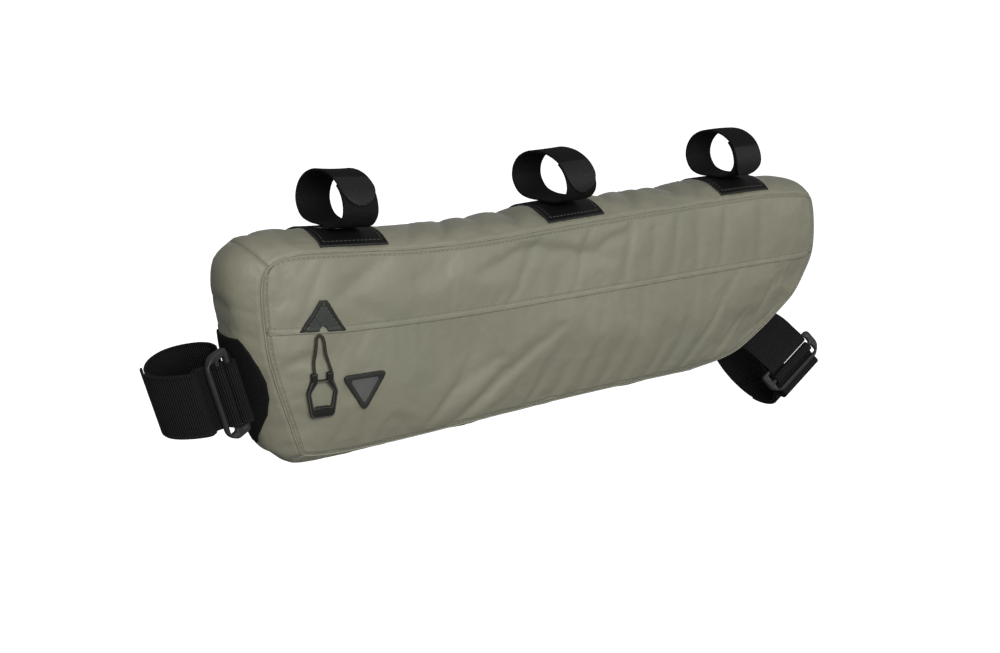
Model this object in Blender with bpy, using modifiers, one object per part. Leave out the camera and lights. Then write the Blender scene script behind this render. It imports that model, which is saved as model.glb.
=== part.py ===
"""A bicycle frame bag, worn under the top tube inside a frame.

Units are metres and +Z is up. +X runs forward along the top tube, and -Y is the side with the zip.
The origin is the middle of the middle loop on top, where the top tube's axis passes.
The shell is sewn from panels: a front in two parts above and below the zip, a plain back, and four
gussets between them. They follow the seam lines in the tables, whose rows hold shares of the bag's
named length, height and half width.
"""

import math

import bmesh
import bpy
from mathutils import Matrix, Vector

COLLECTION = "bicycle_frame_bag"

# Body
BODY_LENGTH = 0.480
BODY_HEIGHT = 0.130
BODY_WIDTH = 0.060
CLOTH = 0.0012
FRONT_FULLNESS = 0.0075
BACK_FULLNESS = 0.0055
FULL_POWER = 3.2
END_RISE = 0.11
SEAM_GAP = 0.0004
SEAT_GAP = 0.0004
GUSSET_SWELL = 0.0100
SWELL_POWER = 2.6

# Zip
ZIP_LEVEL = 0.620
ZIP_OPENING = 0.0008
WELT_HEIGHT = 0.0042
WELT_DROP = 0.0012
WELT_END = 0.0030
WELT_CLOTH = 0.0010
GARAGE_ALONG = 0.0383
GARAGE_WIDTH = 0.0316
GARAGE_HEIGHT = 0.0205
GARAGE_WALL = 0.0014
GARAGE_APEX = 0.0045
SLIDER_ALONG = 0.0349
SLIDER_WIDTH = 0.0075
SLIDER_HEIGHT = 0.0080
SLIDER_THICKNESS = 0.0020
CORD_DIAMETER = 0.0020
PULL_ALONG = 0.0364
PULL_BELOW_ZIP = 0.0270
PULL_WIDTH = 0.0205
PULL_LENGTH = 0.0290
PULL_THICKNESS = 0.0026
PULL_RIM = 0.0030
PULL_SOCKET = 0.0044

# Badge
BADGE_ALONG = 0.0656
BADGE_BELOW_ZIP = 0.0420
BADGE_WIDTH = 0.0326
BADGE_HEIGHT = 0.0268
BADGE_THICKNESS = 0.0020
BADGE_RIM = 0.0034
BADGE_RECESS = 0.0008
BADGE_CORNER = 0.0045

# Loops on top
LOOP_ALONG = (0.138, 0.508, 0.845)
LOOP_TAB_TURN = (0.260, 0.220, 0.160)
LOOP_STRAP_WIDTH = 0.0250
LOOP_SPAN = (0.0630, 0.0640, 0.0530)
LOOP_RISE = 0.0335
LOOP_WALL = 0.0016
LOOP_UNDERLAP = 0.36
LOOP_TAB_TIP = 0.20
LOOP_CLEARANCE = 0.0008
PATCH_LENGTH = 0.0490
PATCH_WALL = 0.0014
PATCH_REACH = 0.90
TUBE_UP = 0.985

# Straps round the seat tube and the down tube
WEBBING_WIDTH = 0.0415
WEBBING_WALL = 0.0015
LAYER_GAP = 0.0006
STRAP_STEP = 0.0050
SEAT_PATCH_LOW = 0.110
SEAT_PATCH_HIGH = 0.645
SEAT_PATCH_REACH = 0.93
SEAT_STRAP_UP = 0.455
SEAT_STRAP_REACH = 0.0560
SEAT_STRAP_SPAN = 0.0610
SEAT_STRAP_TAIL = 0.0560
SEAT_BUCKLE_TURN = math.radians(25.0)
DOWN_STRAP_ALONG = 0.905
DOWN_STRAP_REACH = 0.0670
DOWN_STRAP_SPAN = 0.0640
DOWN_STRAP_TAIL = 0.0600
DOWN_BUCKLE_TURN = math.radians(24.0)

# Buckles
BUCKLE_RAIL = 0.0052
BUCKLE_THICKNESS = 0.0030
BUCKLE_BAR = 0.0030
BUCKLE_SLOT = 0.0056
BUCKLE_PLAY = 0.0026
BUCKLE_CORNER = 0.0065

# Seam lines of the front, as shares: along the length, up the height, out to the half width, and how
# far the gusset swells beyond its two seams there, as a share of GUSSET_SWELL.
# Together they run once round the bag, up the seat end, forward, down the head end and back.
SEAT_END_SEAM = (
    # along, up, out, swell
    (0.056, 0.018, 0.72, 0.95),
    (0.047, 0.085, 0.76, 1.55),
    (0.038, 0.185, 0.79, 1.60),
    (0.027, 0.305, 0.82, 1.55),
    (0.017, 0.425, 0.84, 1.50),
    (0.008, 0.560, 0.85, 1.50),
    (0.005, 0.672, 0.85, 1.50),
    (0.003, 0.780, 0.85, 1.60),
    (0.003, 0.870, 0.85, 1.80),
    (0.006, 0.935, 0.85, 1.85),
    (0.014, 0.978, 0.86, 1.50),
)
TOP_SEAM = (
    # along, up, out, swell
    (0.014, 0.978, 0.86, 1.50),
    (0.032, 1.012, 0.88, 1.10),
    (0.058, 1.022, 0.90, 0.92),
    (0.104, 1.012, 0.93, 0.88),
    (0.160, 0.996, 0.93, 0.90),
    (0.230, 0.974, 0.93, 0.95),
    (0.344, 0.966, 0.93, 1.00),
    (0.483, 0.984, 0.93, 1.00),
    (0.625, 0.996, 0.93, 1.00),
    (0.780, 1.005, 0.93, 1.00),
    (0.871, 1.007, 0.92, 0.98),
    (0.940, 0.992, 0.90, 0.95),
    (0.988, 0.957, 0.86, 0.90),
)
HEAD_END_SEAM = (
    # along, up, out, swell
    (0.988, 0.957, 0.86, 0.90),
    (0.996, 0.900, 0.86, 0.80),
    (1.001, 0.820, 0.85, 0.65),
    (1.004, 0.710, 0.84, 0.60),
    (1.002, 0.605, 0.83, 0.60),
    (0.989, 0.500, 0.82, 0.60),
    (0.966, 0.370, 0.80, 0.60),
)
BOTTOM_SEAM = (
    # along, up, out, swell
    (0.966, 0.370, 0.80, 0.60),
    (0.925, 0.255, 0.79, 0.60),
    (0.896, 0.180, 0.77, 0.60),
    (0.838, 0.070, 0.75, 0.55),
    (0.754, 0.025, 0.74, 0.50),
    (0.625, 0.020, 0.74, 0.50),
    (0.481, 0.015, 0.74, 0.50),
    (0.321, -0.001, 0.74, 0.50),
    (0.225, -0.011, 0.73, 0.50),
    (0.125, -0.013, 0.72, 0.55),
    (0.082, -0.002, 0.72, 0.75),
    (0.056, 0.018, 0.72, 0.95),
)
ZIP_LINE = (
    # along, up
    (0.005, 0.664),
    (0.051, 0.655),
    (0.116, 0.635),
    (0.190, 0.622),
    (0.331, 0.610),
    (0.481, 0.608),
    (0.732, 0.612),
    (0.872, 0.613),
    (0.999, 0.603),
)

# Soft furrows in the cloth: the middle as shares of the panel, the direction in degrees from its
# length, the half length and half width as shares of the bag's height, and the depth as a share of
# the front's fullness.
LOWER_FOLDS = (
    # along, up, direction, half length, half width, depth
    (0.285, 0.42, 24, 0.30, 0.075, 0.30),
    (0.335, 0.30, 30, 0.26, 0.060, 0.22),
    (0.062, 0.13, 62, 0.22, 0.060, 0.24),
    (0.045, 0.80, 10, 0.20, 0.060, 0.20),
    (0.500, 0.10, 68, 0.22, 0.070, 0.22),
    (0.590, 0.12, 72, 0.22, 0.070, 0.20),
    (0.680, 0.14, 64, 0.24, 0.070, 0.22),
    (0.760, 0.40, 58, 0.30, 0.080, 0.20),
)
UPPER_FOLDS = (
    # along, up, direction, half length, half width, depth
    (0.370, 0.66, 14, 0.22, 0.055, 0.24),
    (0.480, 0.64, -12, 0.30, 0.060, 0.28),
    (0.560, 0.68, 18, 0.22, 0.055, 0.22),
    (0.645, 0.60, 80, 0.24, 0.060, 0.22),
    (0.735, 0.58, 84, 0.26, 0.060, 0.24),
    (0.130, 0.60, 30, 0.24, 0.060, 0.18),
)
TOP_FOLDS = (
    # along, up, direction, half length, half width, depth
    (0.300, 0.45, 62, 0.24, 0.080, 0.26),
    (0.425, 0.60, 70, 0.26, 0.080, 0.30),
    (0.640, 0.40, 66, 0.28, 0.080, 0.24),
    (0.730, 0.58, 74, 0.24, 0.080, 0.26),
    (0.930, 0.45, 58, 0.22, 0.080, 0.24),
)

# The ring of a top loop, once round from the middle of its base, as shares of its span and rise.
LOOP_RING = (
    # across, up
    (0.00, 0.000),
    (0.22, 0.005),
    (0.40, 0.100),
    (0.50, 0.340),
    (0.48, 0.600),
    (0.37, 0.820),
    (0.19, 0.960),
    (0.00, 1.000),
    (-0.20, 0.955),
    (-0.38, 0.800),
    (-0.48, 0.570),
    (-0.50, 0.310),
    (-0.40, 0.095),
    (-0.22, 0.005),
)

# A strap's run from the bag round the tube to its buckle, and the short piece that holds the buckle,
# as shares of the strap's span and reach: across the bag and away from it.
SEAT_STRAP_RUN = (
    # across, away
    (0.10, 0.000),
    (0.24, 0.006),
    (0.33, 0.090),
    (0.35, 0.280),
    (0.29, 0.480),
    (0.17, 0.650),
    (0.01, 0.800),
    (-0.20, 0.930),
    (-0.40, 1.000),
    (-0.56, 0.975),
    (-0.66, 0.820),
    (-0.68, 0.640),
)
SEAT_HOLDER_RUN = (
    # across, away
    (-0.06, 0.000),
    (-0.20, 0.006),
    (-0.34, 0.050),
    (-0.46, 0.110),
)
SEAT_BUCKLE_AT = (-0.500, 0.185)
DOWN_STRAP_RUN = (
    # across, away
    (0.12, 0.000),
    (0.28, 0.010),
    (0.42, 0.100),
    (0.49, 0.320),
    (0.48, 0.560),
    (0.38, 0.800),
    (0.18, 0.980),
    (-0.06, 1.000),
    (-0.27, 0.910),
    (-0.40, 0.740),
)
DOWN_HOLDER_RUN = (
    # across, away
    (-0.04, 0.000),
    (-0.18, 0.010),
    (-0.34, 0.085),
    (-0.45, 0.210),
)
DOWN_BUCKLE_AT = (-0.490, 0.370)

# Route of the zip cord, in metres: along from the seat end, up from the zip line, out from the cloth.
CORD_ROUTE = (
    # along, up, out
    (0.0312, -0.0266, 0.0032),
    (0.0314, -0.0200, 0.0030),
    (0.0318, -0.0120, 0.0030),
    (0.0322, -0.0060, 0.0030),
    (0.0330, -0.0030, 0.0030),
    (0.0349, -0.0018, 0.0030),
    (0.0367, -0.0030, 0.0030),
    (0.0374, -0.0060, 0.0030),
    (0.0384, -0.0120, 0.0030),
    (0.0400, -0.0200, 0.0030),
    (0.0416, -0.0266, 0.0032),
)

# How finely the pieces are cut
COLUMNS = 40
LOWER_ROWS = 9
UPPER_ROWS = 5
GUSSET_ROWS = 6
END_COLUMNS = 12
BACK_ROWS = 8
LOOP_COLUMNS = 44

COLOURS = {
    "cloth": (0.262, 0.254, 0.196, 1.0),
    "webbing": (0.012, 0.012, 0.013, 1.0),
    "rubber": (0.046, 0.050, 0.047, 1.0),
    "plastic": (0.022, 0.022, 0.024, 1.0),
    "cord": (0.060, 0.056, 0.036, 1.0),
}
ROUGHNESS = {"cloth": 0.55, "webbing": 0.75, "rubber": 0.50, "plastic": 0.35, "cord": 0.80}


class Smooth:
    """A smooth curve through points, as a function of t from 0 to 1 by chord length."""

    def __init__(self, points, closed=False):
        self.closed = closed
        self.knots = list(points) + ([points[0]] if closed else [])
        self.last = len(self.knots) - 1
        self.marks = [0.0]
        for a, b in zip(self.knots, self.knots[1:]):
            self.marks.append(self.marks[-1] + (b - a).length)
        self.length = self.marks[-1]

    def slope(self, i):
        if self.closed and i in (0, self.last):
            run = self.knots[1] - self.knots[self.last - 1]
            return run / (self.marks[1] + self.length - self.marks[self.last - 1])
        low, high = max(i - 1, 0), min(i + 1, self.last)
        return (self.knots[high] - self.knots[low]) / (self.marks[high] - self.marks[low])

    def __call__(self, t):
        where = (t % 1.0 if self.closed else min(max(t, 0.0), 1.0)) * self.length
        i = max(k for k in range(self.last) if self.marks[k] <= where)
        size = self.marks[i + 1] - self.marks[i]
        f = (where - self.marks[i]) / size
        return (
            self.knots[i] * (1 + 2 * f) * (1 - f) ** 2
            + self.slope(i) * size * f * (1 - f) ** 2
            + self.knots[i + 1] * f * f * (3 - 2 * f)
            + self.slope(i + 1) * size * f * f * (f - 1)
        )

    def spaced(self, gap):
        """Points along the curve, about that gap apart."""
        count = max(2, round(self.length / gap))
        return [self(i / count) for i in range(count + 1)]


TUBE_ALONG = LOOP_ALONG[1] * BODY_LENGTH
TUBE_HEIGHT = (
    TUBE_UP * BODY_HEIGHT + GUSSET_SWELL + CLOTH + SEAT_GAP + PATCH_WALL + LOOP_CLEARANCE
    + (LOOP_WALL + LOOP_RISE) / 2
)


def bag_point(along, up, out):
    """A point from its shares of the bag's length, height and half width."""
    return Vector(
        (along * BODY_LENGTH - TUBE_ALONG, -out * BODY_WIDTH / 2, up * BODY_HEIGHT - TUBE_HEIGHT)
    )


class Outline:
    """The closed front seam, with the part of it that each side takes."""

    def __init__(self):
        sides = (SEAT_END_SEAM, TOP_SEAM, HEAD_END_SEAM, BOTTOM_SEAM)
        rows = [row for side in sides for row in side[:-1]]
        self.at = Smooth([bag_point(*row[:3]) for row in rows], closed=True)
        starts = [0]
        for side in sides:
            starts.append(starts[-1] + len(side) - 1)
        marks = [self.at.marks[i] / self.at.length for i in starts]
        self.seat_end, self.top, self.head_end, self.bottom = zip(marks, marks[1:])
        swells = [row[3] * GUSSET_SWELL for row in rows] + [rows[0][3] * GUSSET_SWELL]
        self.swells = list(zip([mark / self.at.length for mark in self.at.marks], swells))

    def swell(self, s):
        """How far the gusset stands beyond its seams there."""
        s = s % 1.0
        spans = zip(self.swells, self.swells[1:])
        (low, a), (high, b) = next(span for span in spans if s <= span[1][0])
        f = (s - low) / (high - low)
        return a + (b - a) * f * f * (3 - 2 * f)

    def tangent(self, s):
        step = 0.002
        run = self.at(s + step) - self.at(s - step)
        run.y = 0.0
        return run.normalized()

    def normal(self, s):
        run = self.tangent(s)
        return Vector((-run.z, 0.0, run.x))

    def where(self, span, test):
        """The place in a span where a rising measure of the point passes zero."""
        low, high = span
        for _ in range(40):
            middle = (low + high) / 2
            if test(self.at(middle)) < 0:
                low = middle
            else:
                high = middle
        return (low + high) / 2


OUTLINE = Outline()
BAG_MIDDLE = bag_point(0.5, 0.5, 0.0)


def gusset_point(s, v):
    """A point of the gusset's inner face, s of the way round and v across it from -1 to 1."""
    edge = OUTLINE.at(s)
    half = abs(edge.y)
    rise = OUTLINE.swell(s) * (1 - abs(v) ** SWELL_POWER)
    middle = Vector((edge.x, 0.0, edge.z)) + OUTLINE.normal(s) * rise
    return middle + Vector((0.0, v * half, 0.0))


def furrows(rows, u, w, height):
    """How deep the furrows are at a place of a panel, as a share of the front's fullness."""
    total = 0.0
    for along, up, direction, half_length, half_width, depth in rows:
        dx = (u - along) * BODY_LENGTH
        dz = (w - up) * height
        angle = math.radians(direction)
        run = (dx * math.cos(angle) + dz * math.sin(angle)) / (half_length * BODY_HEIGHT)
        side = (dz * math.cos(angle) - dx * math.sin(angle)) / (half_width * BODY_HEIGHT)
        total += depth * math.exp(-run * run - side * side)
    return total


def ramp(u):
    """From 0 at either end of a panel to 1 along its middle."""
    near = min(min(u, 1 - u) / END_RISE, 1.0)
    return 1 - (1 - near) ** 2


def fullness(u, level):
    """How far a face stands out, from 0 on its seams to 1, level being the share of its height."""
    return ramp(u) * (1 - abs(2 * level - 1) ** FULL_POWER)


def coons(low, high, left, right):
    """The surface between four edge curves, each a function from 0 to 1."""
    corners = low(0.0), low(1.0), high(0.0), high(1.0)

    def at(u, w):
        ruled = low(u) * (1 - w) + high(u) * w + left(w) * (1 - u) + right(w) * u
        a = corners[0] * (1 - u) + corners[1] * u
        b = corners[2] * (1 - u) + corners[3] * u
        return ruled - a * (1 - w) - b * w

    return at


def part_of(span, backwards=False):
    low, high = span
    if backwards:
        return lambda t: OUTLINE.at(high + (low - high) * t)
    return lambda t: OUTLINE.at(low + (high - low) * t)


def front_surfaces():
    """The front's inner face below and above the zip, each a function of u forward and w up."""
    rows = [bag_point(along, up, 0.0) for along, up in ZIP_LINE]
    zip_run = Smooth(rows)
    seat = OUTLINE.where(OUTLINE.seat_end, lambda p: p.z - rows[0].z)
    head = OUTLINE.where(OUTLINE.head_end, lambda p: rows[-1].z - p.z)
    start, end = OUTLINE.at(seat), OUTLINE.at(head)

    def zip_edge(u):
        point = zip_run(u)
        point += (start - rows[0]) * (1 - u) + (end - rows[-1]) * u
        return point

    below = coons(
        part_of(OUTLINE.bottom, backwards=True),
        zip_edge,
        part_of((OUTLINE.seat_end[0], seat)),
        part_of((head, OUTLINE.head_end[1]), backwards=True),
    )
    above = coons(
        zip_edge,
        part_of(OUTLINE.top),
        part_of((seat, OUTLINE.seat_end[1])),
        part_of((OUTLINE.head_end[0], head), backwards=True),
    )

    def lower(u, w):
        point = below(u, w)
        full = fullness(u, w * ZIP_LEVEL)
        dent = furrows(LOWER_FOLDS, u, w, ZIP_LEVEL * BODY_HEIGHT) * min(full * 2, 1.0)
        point.y -= FRONT_FULLNESS * (full - dent * (1 - w ** 6))
        return point

    def upper(u, w):
        point = above(u, w)
        full = fullness(u, ZIP_LEVEL + w * (1 - ZIP_LEVEL))
        dent = furrows(UPPER_FOLDS, u, w, (1 - ZIP_LEVEL) * BODY_HEIGHT) * min(full * 2, 1.0)
        point.y -= FRONT_FULLNESS * (full - dent * (1 - (1 - w) ** 6))
        return point

    return lower, upper


LOWER_FRONT, UPPER_FRONT = front_surfaces()


BACK_SURFACE = coons(
    part_of(OUTLINE.bottom, backwards=True),
    part_of(OUTLINE.top),
    part_of(OUTLINE.seat_end),
    part_of(OUTLINE.head_end, backwards=True),
)


def back_point(u, w):
    """A point of the back's inner face."""
    point = BACK_SURFACE(u, w)
    point.y = -point.y + BACK_FULLNESS * fullness(u, w)
    return point


def top_point(s, v):
    """The top gusset with its furrows."""
    low, high = OUTLINE.top
    u = (s - low) / (high - low)
    point = gusset_point(s, v)
    flat = (1 - abs(v) ** SWELL_POWER) * ramp(u)
    clear = min([1.0] + [max(abs(u - at) - 0.06, 0.0) / 0.03 for at in LOOP_ALONG])
    dent = furrows(TOP_FOLDS, u, (v + 1) / 2, BODY_WIDTH) * flat * clear
    return point - OUTLINE.normal(s) * FRONT_FULLNESS * dent


def lifted(surface, a, b, lift, facing):
    """A point off a surface along its own normal, on the side that faces that way."""
    step = 0.001
    one = surface(a + step, b) - surface(a - step, b)
    other = surface(a, b + step) - surface(a, b - step)
    normal = one.cross(other).normalized()
    return surface(a, b) + normal * (lift if normal.dot(facing) > 0 else -lift)


def on_gusset(s, v, lift):
    return lifted(gusset_point, s, v, lift, OUTLINE.normal(s))


def material(name):
    found = bpy.data.materials.get(name)
    if found:
        return found
    made = bpy.data.materials.new(name)
    made.use_nodes = True
    shader = made.node_tree.nodes["Principled BSDF"]
    kind = name.split("_")[-1]
    shader.inputs["Base Color"].default_value = COLOURS[kind]
    shader.inputs["Roughness"].default_value = ROUGHNESS[kind]
    shader.inputs["Metallic"].default_value = 0.0
    made.diffuse_color = COLOURS[kind]
    return made


def add_object(name, data, kind):
    made = bpy.data.objects.new(name, data)
    data.materials.append(material(f"{name}_{kind}"))
    bpy.data.collections[COLLECTION].objects.link(made)
    return made


def grid_object(name, columns, rows, place, kind, wall, offset, outward=None):
    """A sheet on a grid, each place worked out from its u and w, thickened by a Solidify."""
    mesh = bpy.data.meshes.new(name)
    sheet = bmesh.new()
    bmesh.ops.create_grid(sheet, x_segments=columns, y_segments=rows, size=1.0)
    for corner in sheet.verts:
        corner.co = place((corner.co.x + 1) / 2, (corner.co.y + 1) / 2)
    sheet.normal_update()
    if outward:
        agree = sum(face.normal.dot(outward(face.calc_center_median())) for face in sheet.faces)
        if agree < 0:
            bmesh.ops.reverse_faces(sheet, faces=sheet.faces)
    sheet.to_mesh(mesh)
    sheet.free()
    mesh.shade_smooth()
    made = add_object(name, mesh, kind)
    thick = made.modifiers.new("wall", "SOLIDIFY")
    thick.thickness = wall
    thick.offset = offset
    thick.use_even_offset = True
    return made


TO_FRONT = Vector((0.0, -1.0, 0.0))


def front(_):
    return TO_FRONT


def back(_):
    return -TO_FRONT


def away_from_middle(point):
    return point - BAG_MIDDLE


def away_from_axis(point):
    return Vector((0.0, point.y, point.z - BAG_MIDDLE.z))


def panels():
    """The cloth shell."""
    open_zip = ZIP_OPENING / 2
    low_end = 1 - open_zip / (ZIP_LEVEL * BODY_HEIGHT)
    high_start = open_zip / ((1 - ZIP_LEVEL) * BODY_HEIGHT)
    grid_object(
        "front_lower_panel", COLUMNS, LOWER_ROWS,
        lambda u, w: LOWER_FRONT(u, w * low_end), "cloth", CLOTH, 1.0, front,
    )
    grid_object(
        "front_upper_panel", COLUMNS, UPPER_ROWS,
        lambda u, w: UPPER_FRONT(u, high_start + w * (1 - high_start)), "cloth", CLOTH, 1.0, front,
    )
    grid_object("back_panel", COLUMNS, BACK_ROWS, back_point, "cloth", CLOTH, 1.0, back)
    gussets = (
        ("top_gusset", OUTLINE.top, COLUMNS, top_point),
        ("seat_end_gusset", OUTLINE.seat_end, END_COLUMNS, gusset_point),
        ("head_end_gusset", OUTLINE.head_end, END_COLUMNS, gusset_point),
        ("bottom_gusset", OUTLINE.bottom, COLUMNS, gusset_point),
    )
    for name, span, columns, surface in gussets:
        grid_object(
            name, columns, GUSSET_ROWS,
            gusset_place(span, surface), "cloth", CLOTH, 1.0, away_from_middle,
        )


def gusset_place(span, surface):
    """A gusset between its two corners, a seam's gap short of the panels and of its neighbours."""
    inset = SEAM_GAP / OUTLINE.at.length
    low, high = span[0] + inset, span[1] - inset

    def place(u, w):
        s = low + (high - low) * u
        half = abs(OUTLINE.at(s).y)
        return surface(s, (2 * w - 1) * (1 - SEAM_GAP / half))

    return place


def front_place(along, up, lift):
    """A point in front of the cloth: metres along from the seat end, metres up from the zip line."""
    surface, zip_edge, height = LOWER_FRONT, 1.0, ZIP_LEVEL * BODY_HEIGHT
    if up >= 0:
        surface, zip_edge, height = UPPER_FRONT, 0.0, (1 - ZIP_LEVEL) * BODY_HEIGHT
    u, w = along / BODY_LENGTH, zip_edge
    for _ in range(12):
        point = surface(u, w)
        u += (along - TUBE_ALONG - point.x) / BODY_LENGTH
        w += (surface(u, zip_edge).z + up - point.z) / height
    return lifted(surface, u, w, lift, TO_FRONT)


def welt():
    """The folded edge above the zip that covers it."""
    lift = CLOTH + SEAT_GAP

    def place(u, w):
        along = WELT_END + (BODY_LENGTH - 2 * WELT_END) * u
        return front_place(along, -WELT_DROP + WELT_HEIGHT * w, lift)

    grid_object("zip_welt", COLUMNS, 2, place, "cloth", WELT_CLOTH, 1.0, front)


def garage():
    """The rubber triangle that the slider parks under."""
    lift = CLOTH + SEAT_GAP + WELT_CLOTH + SEAT_GAP

    def place(u, w):
        width = GARAGE_WIDTH + (GARAGE_APEX - GARAGE_WIDTH) * w
        return front_place(GARAGE_ALONG + (u - 0.5) * width, w * GARAGE_HEIGHT, lift)

    grid_object("zip_garage", 6, 5, place, "rubber", GARAGE_WALL, 1.0, front)


def strip_object(name, centres, halves, kind, wall):
    """A strap through the centres, reaching its half vector to either side at each of them."""
    last = len(centres) - 1

    def place(u, w):
        i = round(u * last)
        return centres[i] + halves[i] * (2 * w - 1)

    return grid_object(name, last, 1, place, kind, wall, 0.0)


def loop_base(share):
    """The middle of the top gusset under a loop: its place round the seam and its outer point."""
    target = share * BODY_LENGTH - TUBE_ALONG
    s = OUTLINE.where(OUTLINE.top, lambda p: p.x - target)
    return s, on_gusset(s, 0.0, CLOTH)


def top_patches():
    """The patches that the loops are sewn to."""
    half = PATCH_LENGTH / 2 / OUTLINE.at.length
    for number, share in enumerate(LOOP_ALONG, start=1):
        s, _ = loop_base(share)

        def place(u, w, s=s):
            return on_gusset(s + (2 * u - 1) * half, (2 * w - 1) * PATCH_REACH, CLOTH + SEAT_GAP)

        grid_object(f"loop_patch_{number}", 6, 8, place, "rubber", PATCH_WALL, 1.0, away_from_axis)


def top_loops():
    """Hook and loop straps in a ring, each ending in a round tab over its own start at the front."""
    step = LOOP_WALL + LAYER_GAP
    for number, (share, tab, span) in enumerate(zip(LOOP_ALONG, LOOP_TAB_TURN, LOOP_SPAN), start=1):
        rows = [Vector((0.0, across * span, up * LOOP_RISE)) for across, up in LOOP_RING]
        ring = Smooth(rows, closed=True)
        s, base = loop_base(share)
        along, out = OUTLINE.tangent(s), OUTLINE.normal(s)
        floor = base + out * (SEAT_GAP + PATCH_WALL + LOOP_CLEARANCE + LOOP_WALL / 2)
        start, end = -LOOP_UNDERLAP, 1 - tab
        centres, halves = [], []
        for k in range(LOOP_COLUMNS + 1):
            turn = start + (end - start) * k / LOOP_COLUMNS
            run = ring(turn + 0.002) - ring(turn - 0.002)
            outward = Vector((0.0, run.z, -run.y)).normalized()
            point = ring(turn) + outward * step * turn
            centres.append(floor + out * point.z + Vector((0.0, point.y, 0.0)))
            left = (end - turn) * ring.length / (LOOP_STRAP_WIDTH / 2)
            width = math.sqrt(max(1 - (1 - min(left, 1.0)) ** 2, LOOP_TAB_TIP ** 2))
            halves.append(along * (LOOP_STRAP_WIDTH / 2 * width))
        strip_object(f"top_loop_{number}", centres, halves, "webbing", LOOP_WALL)


class StrapFrame:
    """Where a strap leaves the bag: across the bag, away from it, and along its own width."""

    def __init__(self, s, lift, lean):
        self.width = OUTLINE.tangent(s)
        self.out = OUTLINE.normal(s)
        self.lean = lean
        self.start = gusset_point(s, 0.0) + self.out * lift

    def place(self, across, away, side=0.0):
        return (
            self.start
            + Vector((0.0, across, 0.0))
            + self.out * away
            + self.width * (side + self.lean * away)
        )


def strap_and_buckle(name, frame, run, holder, buckle_at, turn, span, reach, tail_length):
    """A strap round a tube, its ladder buckle, and the short piece that holds the buckle."""
    ahead = Vector((-math.sin(turn), math.cos(turn)))
    inside = Vector((math.cos(turn), math.sin(turn)))
    pitch = BUCKLE_BAR + BUCKLE_SLOT
    near = Vector((buckle_at[0] * span, buckle_at[1] * reach))
    middle = near + ahead * pitch
    far = middle + ahead * pitch
    wrap = math.hypot(BUCKLE_BAR, BUCKLE_THICKNESS) / 2 + SEAT_GAP + WEBBING_WALL / 2
    layer = WEBBING_WALL + LAYER_GAP
    under = BUCKLE_THICKNESS / 2 + 2 * SEAT_GAP + WEBBING_WALL / 2
    seat = WEBBING_WALL / 2 + SEAT_GAP

    rows = [Vector((across * span, away * reach + seat)) for across, away in run]
    rows.append(far + ahead * pitch * 0.8 + inside * (under + layer))
    rows.append(far + inside * (under + layer))
    main = Smooth(rows).spaced(STRAP_STEP)
    path = list(main)
    path.append(middle + ahead * pitch * 0.50 + inside * (under + layer * 0.85))
    path.append(middle + ahead * pitch * 0.22 + inside * (wrap + layer * 0.35))
    for k in range(10):
        angle = math.pi / 2 * (1 + k * 3 / 9)
        path.append(middle + ahead * wrap * math.cos(angle) + inside * wrap * math.sin(angle))
    path.append(middle + ahead * pitch * 0.55 + inside * under * 0.80)
    travelled = 0.0
    for i in range(len(main) - 1, 0, -1):
        run_here = (main[i] - main[i - 1]).normalized()
        if i < len(main) - 1:
            run_here = (main[i + 1] - main[i - 1]).normalized()
        outward = Vector((run_here.y, -run_here.x))
        path.append(main[i] + outward * layer)
        travelled += (main[i] - main[i - 1]).length
        if travelled > tail_length:
            break
    put_strip(f"{name}_strap", frame, path)

    rows = [Vector((across * span, away * reach + seat)) for across, away in holder]
    rows.append(near - ahead * pitch * 0.35 - inside * (wrap + 0.0002))
    path = Smooth(rows).spaced(STRAP_STEP)
    for k in range(7):
        angle = -math.pi / 2 + math.pi * k / 6
        path.append(near + ahead * wrap * math.cos(angle) + inside * wrap * math.sin(angle))
    path.append(near - ahead * pitch * 0.45 + inside * wrap * 0.70)
    path.append(near - ahead * pitch * 0.95 + inside * wrap * 0.25)
    put_strip(f"{name}_buckle_holder", frame, path)

    buckle(f"{name}_buckle", frame, middle, ahead, inside)


def put_strip(name, frame, path):
    centres = [frame.place(point.x, point.y) for point in path]
    halves = [frame.width * (WEBBING_WIDTH / 2)] * len(centres)
    strip_object(name, centres, halves, "webbing", WEBBING_WALL)


def flat_outline(name, outer, holes, thickness, kind):
    """A flat plate with holes, from a filled curve."""
    data = bpy.data.curves.new(name, "CURVE")
    data.dimensions = "2D"
    data.fill_mode = "BOTH"
    data.extrude = thickness / 2
    for ring in [outer] + holes:
        spline = data.splines.new("POLY")
        spline.points.add(len(ring) - 1)
        for point, (x, y) in zip(spline.points, ring):
            point.co = (x, y, 0.0, 1.0)
        spline.use_cyclic_u = True
    return add_object(name, data, kind)


def slot_ring(width, low, high, corner):
    """A rectangle with cut corners, centred across."""
    half = width / 2
    return [
        (-half + corner, low), (half - corner, low), (half, low + corner), (half, high - corner),
        (half - corner, high), (-half + corner, high), (-half, high - corner), (-half, low + corner),
    ]


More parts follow.
